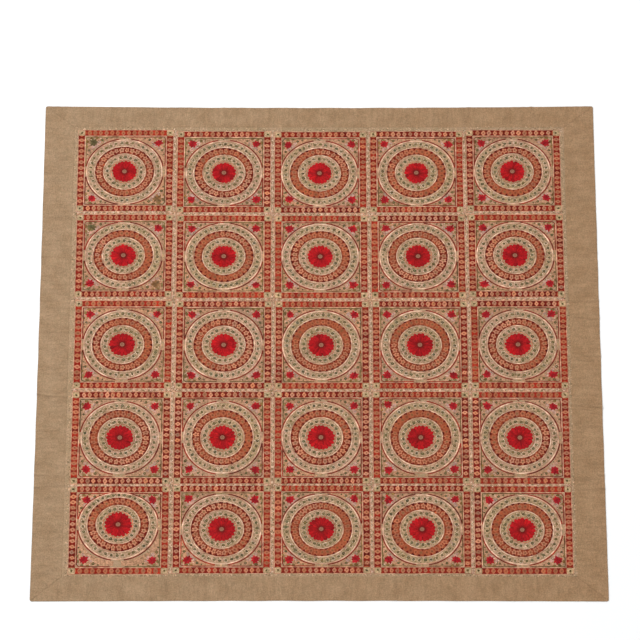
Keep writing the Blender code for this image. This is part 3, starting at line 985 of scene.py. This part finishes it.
def dulled_glass(name):
    """Mirror glass: metallic, a little rough and uneven, with a tea-coloured tint that varies."""
    made = Nodes(name, roughness=0.18, sheen=0.0)
    made.shader.inputs["Metallic"].default_value = 1.0
    place = made.add("ShaderNodeTexCoord").outputs["Object"]
    patches = made.noise(place, 320.0, detail=3.0)
    tint = made.ramp(patches, (0.35, seen(154, 100, 80)), (0.65, seen(188, 132, 108)))
    return made.finish(tint, patches, strength=0.15, depth=0.0002)


mirror_glass = dulled_glass("dulled_mirror_glass")
for tile in tiles:
    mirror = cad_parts[f"mirror_{tile['row']}_{tile['column']}"]
    mirror.data.materials.clear()
    mirror.data.materials.append(mirror_glass)


# Each tile's square frame is four bands of brick red satin stitch between small corner squares.
# A row of salmon florets fills each band, and dark red bow-ties are stitched between them.
BAND_HEIGHT = 0.0008
BAND_PITCH = 0.0225, 0.0262
BAND_RED = seen(176, 94, 62)
BRIGHT_RED = seen(164, 46, 28)
LINE_RED = seen(150, 50, 32)


def straight_pad(x0, y0, x1, y1, width, height, dye, steps=24):
    """A straight stitched band from one point to another: a low profile with rounded edges, from its
    right to its left, carried along it. Its edges wander a little."""
    share = np.linspace(0, 1, steps + 1)
    length = math.hypot(x1 - x0, y1 - y0)
    ahead = np.array([x1 - x0, y1 - y0]) / length
    left = np.array([-ahead[1], ahead[0]])
    across = np.array([-1.0, -0.85, 0.0, 0.85, 1.0])
    lift = np.array([-SUNK, 0.7 * height, height, 0.7 * height, -SUNK])
    wander = 0.0006 * np.sin(share * 9.0 + luck.uniform(0, 6.3))
    sideways = across[:, None] * width / 2 + wander[None, :]
    x = x0 + ahead[0] * length * share[None, :] + left[0] * sideways
    y = y0 + ahead[1] * length * share[None, :] + left[1] * sideways
    z = lie(x, y) + lift[:, None]
    slow = 1.0 + 0.10 * np.sin(share * 7.0 + luck.uniform(0, 6.3))[None, :, None]
    return grid_part(x, y, z, sideways, length * share, slow * dye)


def frame_sides(tile):
    """The middle lines of the four bands of a tile's frame, each from one end to the other."""
    x, y = tile["frame_x"], tile["frame_y"]
    line_x, line_y = tile["half_x"] - BAND / 2, tile["half_y"] - BAND / 2
    end_x, end_y = tile["half_x"] - BAND, tile["half_y"] - BAND
    return (
        (x - end_x, y + line_y, x + end_x, y + line_y),
        (x - end_x, y - line_y, x + end_x, y - line_y),
        (x - line_x, y - end_y, x - line_x, y + end_y),
        (x + line_x, y - end_y, x + line_x, y + end_y),
    )


def bow_tie_shape():
    """A bow-tie across a band: y across it from -1 to 1, x along it, pinched at the middle."""
    u, v = np.meshgrid(np.linspace(-1, 1, 3), np.linspace(-1, 1, 5))
    length = 0.26 + 0.74 * np.abs(v) ** 1.5
    return motif(u * length, v, (1 - 0.6 * u**2) * (1 - 0.3 * v**4), 1.0 - v**2)


BLOCK = 0.008  # length of the plain red block that ends each band
FLORET_ALONG, FLORET_ACROSS = 0.0108, 0.0122
band_floret = round_shape(petals=4, notch=0.36, steps=4, hollow=0.4, heart=2.1)
bow_tie = bow_tie_shape()
bands, florets, bows = [], [], []
for tile in tiles:
    for x0, y0, x1, y1 in frame_sides(tile):
        plain = luck.uniform(0.15, 0.90)  # how far the side's motifs are in the red of its ground
        side_red = dyed(BAND_RED * (0.75 + 0.35 * plain), 1, spread=0.08)
        bands.append(straight_pad(x0, y0, x1, y1, BAND, BAND_HEIGHT, side_red))
        turn, length = math.atan2(y1 - y0, x1 - x0), math.hypot(x1 - x0, y1 - y0)
        pitch = luck.uniform(*BAND_PITCH)
        count = round((length - 2 * BLOCK) / pitch)
        first = BLOCK / length
        share = first + (1 - 2 * first) * (np.arange(count) + 0.5) / count
        stray = luck.normal(size=(2, count)) * 0.0011
        pale = dyed(PALE_SALMON, count, spread=0.20)
        tone = pale * (1 - plain) + dyed(SALMON, count, spread=0.16) * plain
        x, y = x0 + (x1 - x0) * share + stray[0], y0 + (y1 - y0) * share + stray[1]
        lean = turn + luck.normal(size=count) * 0.20
        size = about(FLORET_ALONG, count, 0.12), about(FLORET_ACROSS, count, 0.12)
        knot = mixed(OLIVE, DARK_BRICK, count, 0.2)
        florets.append(
            stamped(band_floret, x, y, lean, *size, tone, knot, height=0.0010, base=BAND_HEIGHT)
        )
        share = first + (1 - 2 * first) * np.arange(count + 1) / count
        size = about(0.36 * pitch, count + 1, 0.15), 0.47 * BAND
        x, y = x0 + (x1 - x0) * share, y0 + (y1 - y0) * share
        tone = dyed(DARK_RED, count + 1, spread=0.25) * (1 - plain)
        tone = tone + dyed(BRIGHT_RED, count + 1, spread=0.2) * plain
        bows.append(stamped(bow_tie, x, y, turn, *size, tone, height=0.0012, base=BAND_HEIGHT))
        for end_x, end_y, sign in ((x0, y0, 1), (x1, y1, -1)):
            reach = sign * BLOCK / length
            block = end_x, end_y, end_x + (x1 - x0) * reach, end_y + (y1 - y0) * reach
            red = mixed(SALMON, BAND_RED, 1, 0.15)
            bands.append(straight_pad(*block, BAND, BAND_HEIGHT + 0.0003, red, steps=3))
embroider("frame_bands", bands, red_satin)
embroider("frame_florets", florets, floss)
embroider("frame_bow_ties", bows, red_satin)


# A salmon cord is couched inside every frame, and a finer one along its outer edge.
# In the four corners inside it dark red or olive lines go round a beige field, and between them, where
# the medallion comes close to its frame, are short pads of yellow-beige stitches.
INNER_CORD = {"half_width": 0.0020, "height": 0.0012, "base": 0.0002}
OUTER_CORD = {"half_width": 0.0014, "height": 0.0008, "base": 0.0002}
CORD_STEP = 0.02
FIELD_START = math.radians(5.0)
FIELD_RADIUS = 0.1617
FIELD_GAP = 0.0060
FIELD_STEPS = 25
FIELD_TAN = seen(186, 138, 106)


def rectangle_path(x, y, half_x, half_y):
    """A closed path round a rectangle, against the clock, with even points along each side that are
    strayed a little."""
    corners = [(1, -1), (1, 1), (-1, 1), (-1, -1)]
    sides = []
    for (ax, ay), (bx, by) in zip(corners, corners[1:] + corners[:1]):
        start = np.array([x + ax * half_x, y + ay * half_y])
        end = np.array([x + bx * half_x, y + by * half_y])
        count = round(np.linalg.norm(end - start) / CORD_STEP)
        share = (np.arange(count) / count)[:, None]
        sides.append(start + (end - start) * share)
    path = np.concatenate(sides)
    return path + luck.normal(size=path.shape) * 0.0003


edges = []
for tile in tiles:
    place = tile["frame_x"], tile["frame_y"]
    inset = BAND + INNER_CORD["half_width"]
    inside = rectangle_path(*place, tile["half_x"] - inset, tile["half_y"] - inset)
    outside = rectangle_path(*place, tile["half_x"] + 0.001, tile["half_y"] + 0.001)
    tone = dyed(CREAM * 0.45 + PALE_SALMON * 0.55, 1, spread=0.06)
    edges.append(couched_cord(inside, tone, **INNER_CORD, closed=True))
    edges.append(couched_cord(outside, tone * 0.9, **OUTER_CORD, closed=True))
embroider("frame_cords", edges, cotton_cord)


def corner_outline(tile, sign_x, sign_y, share, start=FIELD_START, stop=FIELD_START):
    """The corner field of a tile at this share of the way out, from the medallion's edge at 0 to the
    frame at 1: a fan of rays from the medallion's middle, each cut off by the frame. start and stop are
    how far round from the tile's two middle lines the fan keeps, the level one first."""
    angle = np.linspace(start, math.pi / 2 - stop, FIELD_STEPS)
    angle = np.arctan2(sign_y * np.sin(angle), sign_x * np.cos(angle))
    near_x, near_y = on_ring(tile, FIELD_RADIUS, angle)
    near_x, near_y = sign_x * (near_x - tile["x"]), sign_y * (near_y - tile["y"])
    half_x = tile["half_x"] - BAND - FIELD_GAP - sign_x * tile["off"]
    half_y = tile["half_y"] - BAND - FIELD_GAP - sign_y * tile["up"]
    reach = np.maximum(np.minimum(half_x / near_x, half_y / near_y), 1.006)
    growth = 1.0 + (reach - 1.0) * share
    return tile["x"] + sign_x * near_x * growth, tile["y"] + sign_y * near_y * growth


def corner_field(tile, sign_x, sign_y):
    """The pale field of one corner: its outline's shares from 0 to 1, a little domed."""
    share = np.linspace(0, 1, 4)[:, None]
    x, y = corner_outline(tile, sign_x, sign_y, share)
    z = lie(x, y) - MOTIF_SUNK + 0.0006 * np.clip(4 * share * (1 - share), 0, 1) ** 0.4
    field = grid_part(x, y, z, x, y, dyed(FIELD_TAN, 1, spread=0.08))
    if sign_x * sign_y > 0:
        field["quads"] = field["quads"][:, ::-1]
    return field


CORNERS = ((-1, 1), (1, 1), (-1, -1), (1, -1))
LINE_OLIVE = seen(124, 102, 56)
YELLOW_BEIGE = seen(192, 152, 112)
LINE_START = math.radians(9.0)
NEAR_LINE = {"half_width": 0.0025, "height": 0.0012, "base": 0.0002}
FAR_LINE = {"half_width": 0.0021, "height": 0.0009, "base": 0.0002}
PAD_LENGTH = 0.0048
PAD_WIDTHS = np.array([0.0115, 0.0115, 0.0065])
fields, lines, ends = [], [], []
for tile in tiles:
    for sign_x, sign_y in CORNERS:
        fields.append(corner_field(tile, sign_x, sign_y))
        near = np.stack(corner_outline(tile, sign_x, sign_y, 0.0, LINE_START, LINE_START), axis=-1)
        stop = 0.0 if sign_y > 0 else LINE_START
        far = np.stack(corner_outline(tile, sign_x, sign_y, 1.0, LINE_START, stop), axis=-1)
        red = dyed(LINE_RED, 1, spread=0.15)
        lines.append(couched_cord(near, red, **NEAR_LINE))
        tone = dyed(LINE_OLIVE, 1, spread=0.15) if luck.uniform() < 0.4 else red
        lines.append(couched_cord(far, tone, **FAR_LINE))
    angle = np.array([0.0, math.pi, -math.pi / 2]) + luck.normal(size=3) * 0.02
    x, y = on_ring(tile, FIELD_RADIUS + 0.0005, angle)
    pale = dyed(YELLOW_BEIGE, 3, spread=0.08)
    size = PAD_LENGTH, about(PAD_WIDTHS, 3)
    ends.append(stamped(halo, x, y, angle, *size, pale, height=0.0006, base=0.0006))
embroider("corner_fields", fields, beige_chain)
embroider("dark_red_lines", lines, cotton_cord)
embroider("line_ends", ends, beige_chain)


# In each corner field are a small red flower with pointed petals, four olive leaves round it, a row
# of pale patches, and four green florets further along. A few of the flowers were worked in green or
# brown instead.
MIDDLING_TILE = 0.167, 0.171  # half of what is inside the frame of a tile of middling size
CORNER_FLOWER = 0.1330, 0.1355
CORNER_PETALS = 8
PETAL_LENGTH, PETAL_WIDTH = 0.0188, 0.0058
ODD_GREEN, ODD_BROWN = seen(114, 98, 62), seen(146, 104, 66)
ODD_FLOWERS = {
    (1, 1, -1, 1): ODD_GREEN,
    (1, 1, 1, -1): ODD_BROWN,
    (2, 1, -1, 1): ODD_GREEN,
    (2, 1, 1, -1): ODD_BROWN,
}
LEAF_GREEN = seen(134, 102, 60)
CORNER_RED = seen(178, 34, 38)
LILAC = seen(190, 146, 128)
LEAF_LENGTHS = np.array([0.017, 0.017, 0.013, 0.013])
LEAF_WIDTH = 0.0056
PATCH_LENGTH, PATCH_WIDTH = 0.0082, 0.0074
SPOT_SIZES = np.array([0.0066, 0.0066, 0.0042, 0.0042])


def leaf_shape():
    """A leaf: x from its root at 0 to its tip at 1, y across with pointed ends, domed across."""
    u, v = np.meshgrid(np.linspace(0, 1, 6), np.linspace(-1, 1, 4))
    width = 0.12 + 0.88 * np.sin(math.pi * u) ** 0.8
    return motif(u, v * width, (1 - v**2) * (0.4 + 0.6 * np.sin(math.pi * u)), (1 - u) ** 2)


def corner_scale(tile):
    """How large the inside of a tile's frame is, across and up, against one of middling size."""
    return (tile["half_x"] - BAND) / MIDDLING_TILE[0], (tile["half_y"] - BAND) / MIDDLING_TILE[1]


def in_corner(tile, sign_x, sign_y, across, up):
    """Places in a tile's corner, given for the top right one of a tile of middling size."""
    scale_x, scale_y = corner_scale(tile)
    x = tile["frame_x"] + sign_x * scale_x * np.array(across)
    return x, tile["frame_y"] + sign_y * scale_y * np.array(up)


leaf = leaf_shape()
point_petals, leaves, florets, patches, seeds = [], [], [], [], []
for tile in tiles:
    for sign_x, sign_y in CORNERS:
        corner = tile, sign_x, sign_y
        scale_x, scale_y = corner_scale(tile)
        x = tile["frame_x"] + sign_x * (CORNER_FLOWER[0] * scale_x + luck.normal() * 0.0015)
        y = tile["frame_y"] + sign_y * (CORNER_FLOWER[1] * scale_y + luck.normal() * 0.0015)
        angle = np.arange(CORNER_PETALS) * 2 * math.pi / CORNER_PETALS + luck.uniform(0, 1)
        colour = ODD_FLOWERS.get((tile["row"], tile["column"], sign_x, sign_y), CORNER_RED)
        x, y = np.full(CORNER_PETALS, x), np.full(CORNER_PETALS, y)
        size = about(PETAL_LENGTH, CORNER_PETALS, 0.12), about(PETAL_WIDTH, CORNER_PETALS, 0.12)
        tip = dyed(colour, CORNER_PETALS, spread=0.20)
        root = dyed(colour * 0.6, CORNER_PETALS, spread=0.10)
        point_petals.append(
            stamped(leaf, x, y, angle, *size, tip, root, height=0.0014, base=0.0008)
        )
        x, y = in_corner(*corner, [0.1470, 0.1560, 0.1240, 0.1570], [0.1590, 0.1500, 0.1600, 0.1240])
        turn = np.array([0.15, math.pi / 2 - 0.15, math.pi - 0.2, -math.pi / 2 + 0.2])
        turn = np.arctan2(sign_y * np.sin(turn), sign_x * np.cos(turn)) + luck.normal(size=4) * 0.15
        size = about(LEAF_LENGTHS, 4)
        size[:2] *= -1.0
        width = LEAF_WIDTH * np.sign(size)
        tone = dyed(LEAF_GREEN, 4, spread=0.2)
        leaves.append(stamped(leaf, x, y, turn, size, width, tone, height=0.0012, base=0.0006))
        across, up = [0.1070, 0.1160, 0.1360, 0.1300, 0.1190], [0.1390, 0.1280, 0.1100, 0.1180, 0.1210]
        x, y = in_corner(*corner, across, up)
        x, y = x + luck.normal(size=5) * 0.001, y + luck.normal(size=5) * 0.001
        turn = luck.uniform(0, 3, size=5)
        size = about(PATCH_LENGTH, 5, 0.15), about(PATCH_WIDTH, 5, 0.15)
        tone = dyed(LILAC, 5, spread=0.10)
        patches.append(stamped(halo, x, y, turn, *size, tone, height=0.0005, base=0.0006))
        across, up = luck.uniform(0.085, 0.160, size=40), luck.uniform(0.085, 0.160, size=40)
        x, y = in_corner(*corner, across, up)
        from_middle = np.hypot(x - tile["x"], (y - tile["y"]) / tile["stretch"])
        beyond = from_middle > FIELD_RADIUS + 0.004
        seeds.append(scattered(x[beyond], y[beyond], 0.0030))
        x, y = in_corner(*corner, [0.0965, 0.1480, 0.0780, 0.1545], [0.1510, 0.0995, 0.1570, 0.0790])
        size = about(SPOT_SIZES, 4)
        rim, knot = dyed(GREEN * 0.85, 4, spread=0.2), dyed(PALE_KNOT * 0.85, 4, spread=0.2)
        florets.append(
            stamped(green_floret, x, y, 0.0, size, size, rim, knot, height=0.0013, base=0.0004)
        )
embroider("corner_flowers", point_petals, flower_satin)
embroider("corner_leaves", leaves, red_satin)
embroider("corner_patches", patches, beige_chain)
embroider("corner_florets", florets, buttonhole)
embroider("corner_seeds", seeds, buttonhole)


# Between the frames run narrow beige strips, worked in the same chain stitch as the rings.
# Small cross stitches in cream and olive go along them, and every corner square of a frame holds a
# dark green knot.
STRIP_HEIGHT, SQUARE_HEIGHT = 0.0004, 0.0006
STRIP_BEIGE = seen(198, 152, 120)
CROSS_CREAM = seen(236, 200, 170)
SQUARE_BEIGE = seen(190, 158, 120)
LEVEL_BEIGE = seen(206, 152, 120)


def gap_pads(tiles):
    """Beige pads for the strips to the right of and below each tile, and for its corner squares."""
    pads = []
    by_place = {(tile["row"], tile["column"]): tile for tile in tiles}
    for tile in tiles:
        half_x, half_y = tile["half_x"], tile["half_y"]
        x, y = tile["frame_x"], tile["frame_y"]
        right = by_place.get((tile["row"], tile["column"] + 1))
        below = by_place.get((tile["row"] + 1, tile["column"]))
        if right:
            x0, x1 = x + half_x, right["frame_x"] - right["half_x"]
            tone = dyed(STRIP_BEIGE, 1, spread=0.03)
            middle = (x0 + x1) / 2
            ends = middle, y - half_y, middle, y + half_y
            pads.append(straight_pad(*ends, x1 - x0, STRIP_HEIGHT, tone))
        if below:
            y0, y1 = below["frame_y"] + below["half_y"], y - half_y
            tone = dyed(LEVEL_BEIGE, 1, spread=0.03)
            middle = (y0 + y1) / 2
            ends = x - half_x, middle, x + half_x, middle
            pads.append(straight_pad(*ends, y1 - y0, STRIP_HEIGHT, tone))
        if right and below:
            tone = dyed(STRIP_BEIGE, 1, spread=0.03)
            pads.append(straight_pad(x0, middle, x1, middle, y1 - y0, STRIP_HEIGHT, tone, steps=3))
        for sign_x, sign_y in CORNERS:
            corner_x = x + sign_x * (half_x - BAND / 2)
            corner_y = y + sign_y * (half_y - BAND / 2)
            tone = dyed(SQUARE_BEIGE, 1, spread=0.05)
            ends = corner_x - BAND / 2, corner_y, corner_x + BAND / 2, corner_y
            pads.append(straight_pad(*ends, BAND, SQUARE_HEIGHT, tone, steps=3))
    return pads


pads = [across_stitches(pad) for pad in gap_pads(tiles)]
embroider("beige_strips", pads, beige_chain)

KNOT_SIZE = 0.0055
signs = np.array(CORNERS, float)
knots = []
for tile in tiles:
    at_x, at_y = signs[:, 0] * (tile["half_x"] - BAND / 2), signs[:, 1] * (tile["half_y"] - BAND / 2)
    x = tile["frame_x"] + at_x + luck.normal(size=4) * 0.0008
    y = tile["frame_y"] + at_y + luck.normal(size=4) * 0.0008
    turn = luck.uniform(0, 3, size=4)
    size = about(KNOT_SIZE, 4, 0.12), about(KNOT_SIZE, 4, 0.12)
    tone = dyed(GREEN, 4, spread=0.2)
    knots.append(stamped(green_floret, x, y, turn, *size, tone, height=0.0014, base=0.0007))
embroider("corner_knots", knots, buttonhole)


def row_of_crosses(x0, y0, x1, y1, pitch, tones):
    """Cross stitches along a line: two slanting stitches each, in turns of the given tones."""
    count = round(math.hypot(x1 - x0, y1 - y0) / pitch)
    share = (np.arange(count) + 0.5) / count
    x = x0 + (x1 - x0) * share + luck.normal(size=count) * 0.0009
    y = y0 + (y1 - y0) * share + luck.normal(size=count) * 0.0009
    dye = np.array([tones[number % len(tones)] for number in range(count)])
    dye = np.clip(dye * (1.0 + 0.20 * luck.normal(size=(count, 1))), 0, 1)
    return [
        stamped(seed_stitch, x, y, slant, *CROSS_SIZE, dye, height=0.0009, base=0.0004)
        for slant in (math.pi / 4, -math.pi / 4)
    ]


CROSS_PITCH = 0.0120
CROSS_SIZE = 0.0072, 0.0021
CROSS_TONES = (CROSS_CREAM, seen(140, 112, 76))
STRIP_LINE = seen(222, 190, 160)
STRIP_SEEDS = 110
STRIP_REACH = 0.0065
STRIP_CORD = {"half_width": 0.0011, "height": 0.0009, "base": 0.0003}
UPRIGHT_LINE, LEVEL_LINE = 0.0085, 0.0075  # how far from a frame its strips' middle lines run
crosses, lines, seeds = [], [], []
for tile in tiles:
    reach_x, reach_y = tile["half_x"], tile["half_y"]
    half_x, half_y = reach_x + UPRIGHT_LINE, reach_y + LEVEL_LINE
    x, y = tile["frame_x"], tile["frame_y"]
    sides = (
        (tile["row"] < 5, (x - reach_x, y - half_y, x + reach_x, y - half_y)),
        (tile["column"] < 5, (x + half_x, y - reach_y, x + half_x, y + reach_y)),
    )
    for is_inner, (x0, y0, x1, y1) in sides:
        if is_inner:
            crosses += row_of_crosses(x0, y0, x1, y1, CROSS_PITCH, CROSS_TONES)
            path = np.stack([np.linspace(x0, x1, 20), np.linspace(y0, y1, 20)], axis=-1)
            path = path + luck.normal(size=path.shape) * 0.0004
            lines.append(couched_cord(path, dyed(STRIP_LINE, 1, spread=0.06), **STRIP_CORD))
            seed_x = luck.uniform(x0 - STRIP_REACH, x1 + STRIP_REACH, size=STRIP_SEEDS)
            seed_y = luck.uniform(y0 - STRIP_REACH, y1 + STRIP_REACH, size=STRIP_SEEDS)
            seeds.append(scattered(seed_x, seed_y, SEED_SIZE))
embroider("cross_stitches", crosses, buttonhole)
embroider("strip_lines", lines, cotton_cord)
embroider("strip_seeds", seeds, buttonhole)


# Outside the outermost frames the work ends in ragged rows of small loose stitches, cream and sage.
# They thin out towards the plain cloth by the seam.
MARGIN_START, MARGIN_WIDTH = 0.003, 0.018
MARGIN_COUNT = 130
MARGIN_LENGTH, MARGIN_STITCH_WIDTH = 0.0042, 0.0016
LOWER_ROOM, RIGHT_ROOM = 0.0085, 0.0125
MARGIN_CREAM, MARGIN_SAGE = seen(216, 176, 142), seen(144, 120, 88)
margin = []
for tile in tiles:
    x, y = tile["frame_x"], tile["frame_y"]
    half_x, half_y = tile["half_x"], tile["half_y"]
    away = luck.uniform(0, 1, size=MARGIN_COUNT) ** 1.4
    away = MARGIN_START + (MARGIN_WIDTH - MARGIN_START) * away
    along = luck.uniform(-1.05, 1.05, size=MARGIN_COUNT)
    sides = (
        (tile["row"] == 1, x + along * half_x, y + half_y + away),
        (tile["row"] == 5, x + along * half_x, y - half_y - np.minimum(away, LOWER_ROOM)),
        (tile["column"] == 1, x - half_x - away, y + along * half_y),
        (tile["column"] == 5, x + half_x + np.minimum(away, RIGHT_ROOM), y + along * half_y),
    )
    for is_outer, at_x, at_y in sides:
        if is_outer:
            turn = luck.uniform(0, 3.1, size=MARGIN_COUNT)
            size = about(MARGIN_LENGTH, MARGIN_COUNT, 0.25), MARGIN_STITCH_WIDTH
            tone = mixed(MARGIN_CREAM, MARGIN_SAGE, MARGIN_COUNT, 0.12)
            margin.append(
                stamped(seed_stitch, at_x, at_y, turn, *size, tone, height=0.0008, base=0.0003)
            )
embroider("margin_stitches", margin, beige_chain)


# The floor is a plain pale surface, wide enough to fill the view on every side.
# The light is soft: an even pale surround, and one large lamp high up on the left.
FLOOR_REACH = 30.0
floor_x, floor_y = np.meshgrid([-FLOOR_REACH, FLOOR_REACH], [-FLOOR_REACH, FLOOR_REACH])
floor_points = np.stack([floor_x, floor_y, 0.0 * floor_x], axis=-1).reshape(-1, 3)
floor = mesh_object("floor", floor_points, grid_quads(2, 2))
floor_paint = Nodes("floor_paint", roughness=0.95, sheen=0.0)
floor_place = floor_paint.add("ShaderNodeTexCoord").outputs["Object"]
floor_tone = floor_paint.ramp(
    floor_paint.noise(floor_place, 3.0), (0.0, (0.95, 0.945, 0.94)), (1.0, (0.965, 0.96, 0.955))
)
floor.data.materials.append(
    floor_paint.finish(floor_tone, floor_paint.noise(floor_place, 400.0), 0.05, 0.0001)
)

surround = bpy.data.worlds.new("surround")
surround.use_nodes = True
surround.node_tree.nodes["Background"].inputs["Color"].default_value = (1.0, 0.99, 0.97, 1.0)
surround.node_tree.nodes["Background"].inputs["Strength"].default_value = 0.84
bpy.context.scene.world = surround

lamp_data = bpy.data.lights.new("large_lamp", "AREA")
lamp_data.shape = "RECTANGLE"
lamp_data.size, lamp_data.size_y = 3.0, 3.0
lamp_data.color = (0.86, 0.96, 1.08)
lamp_data.energy = 240.0
lamp = bpy.data.objects.new("large_lamp", lamp_data)
bpy.context.scene.collection.objects.link(lamp)
lamp.location = (-4.2, 1.6, 5.6)
lamp.rotation_euler = (-lamp.location).to_track_quat("-Z", "Y").to_euler()
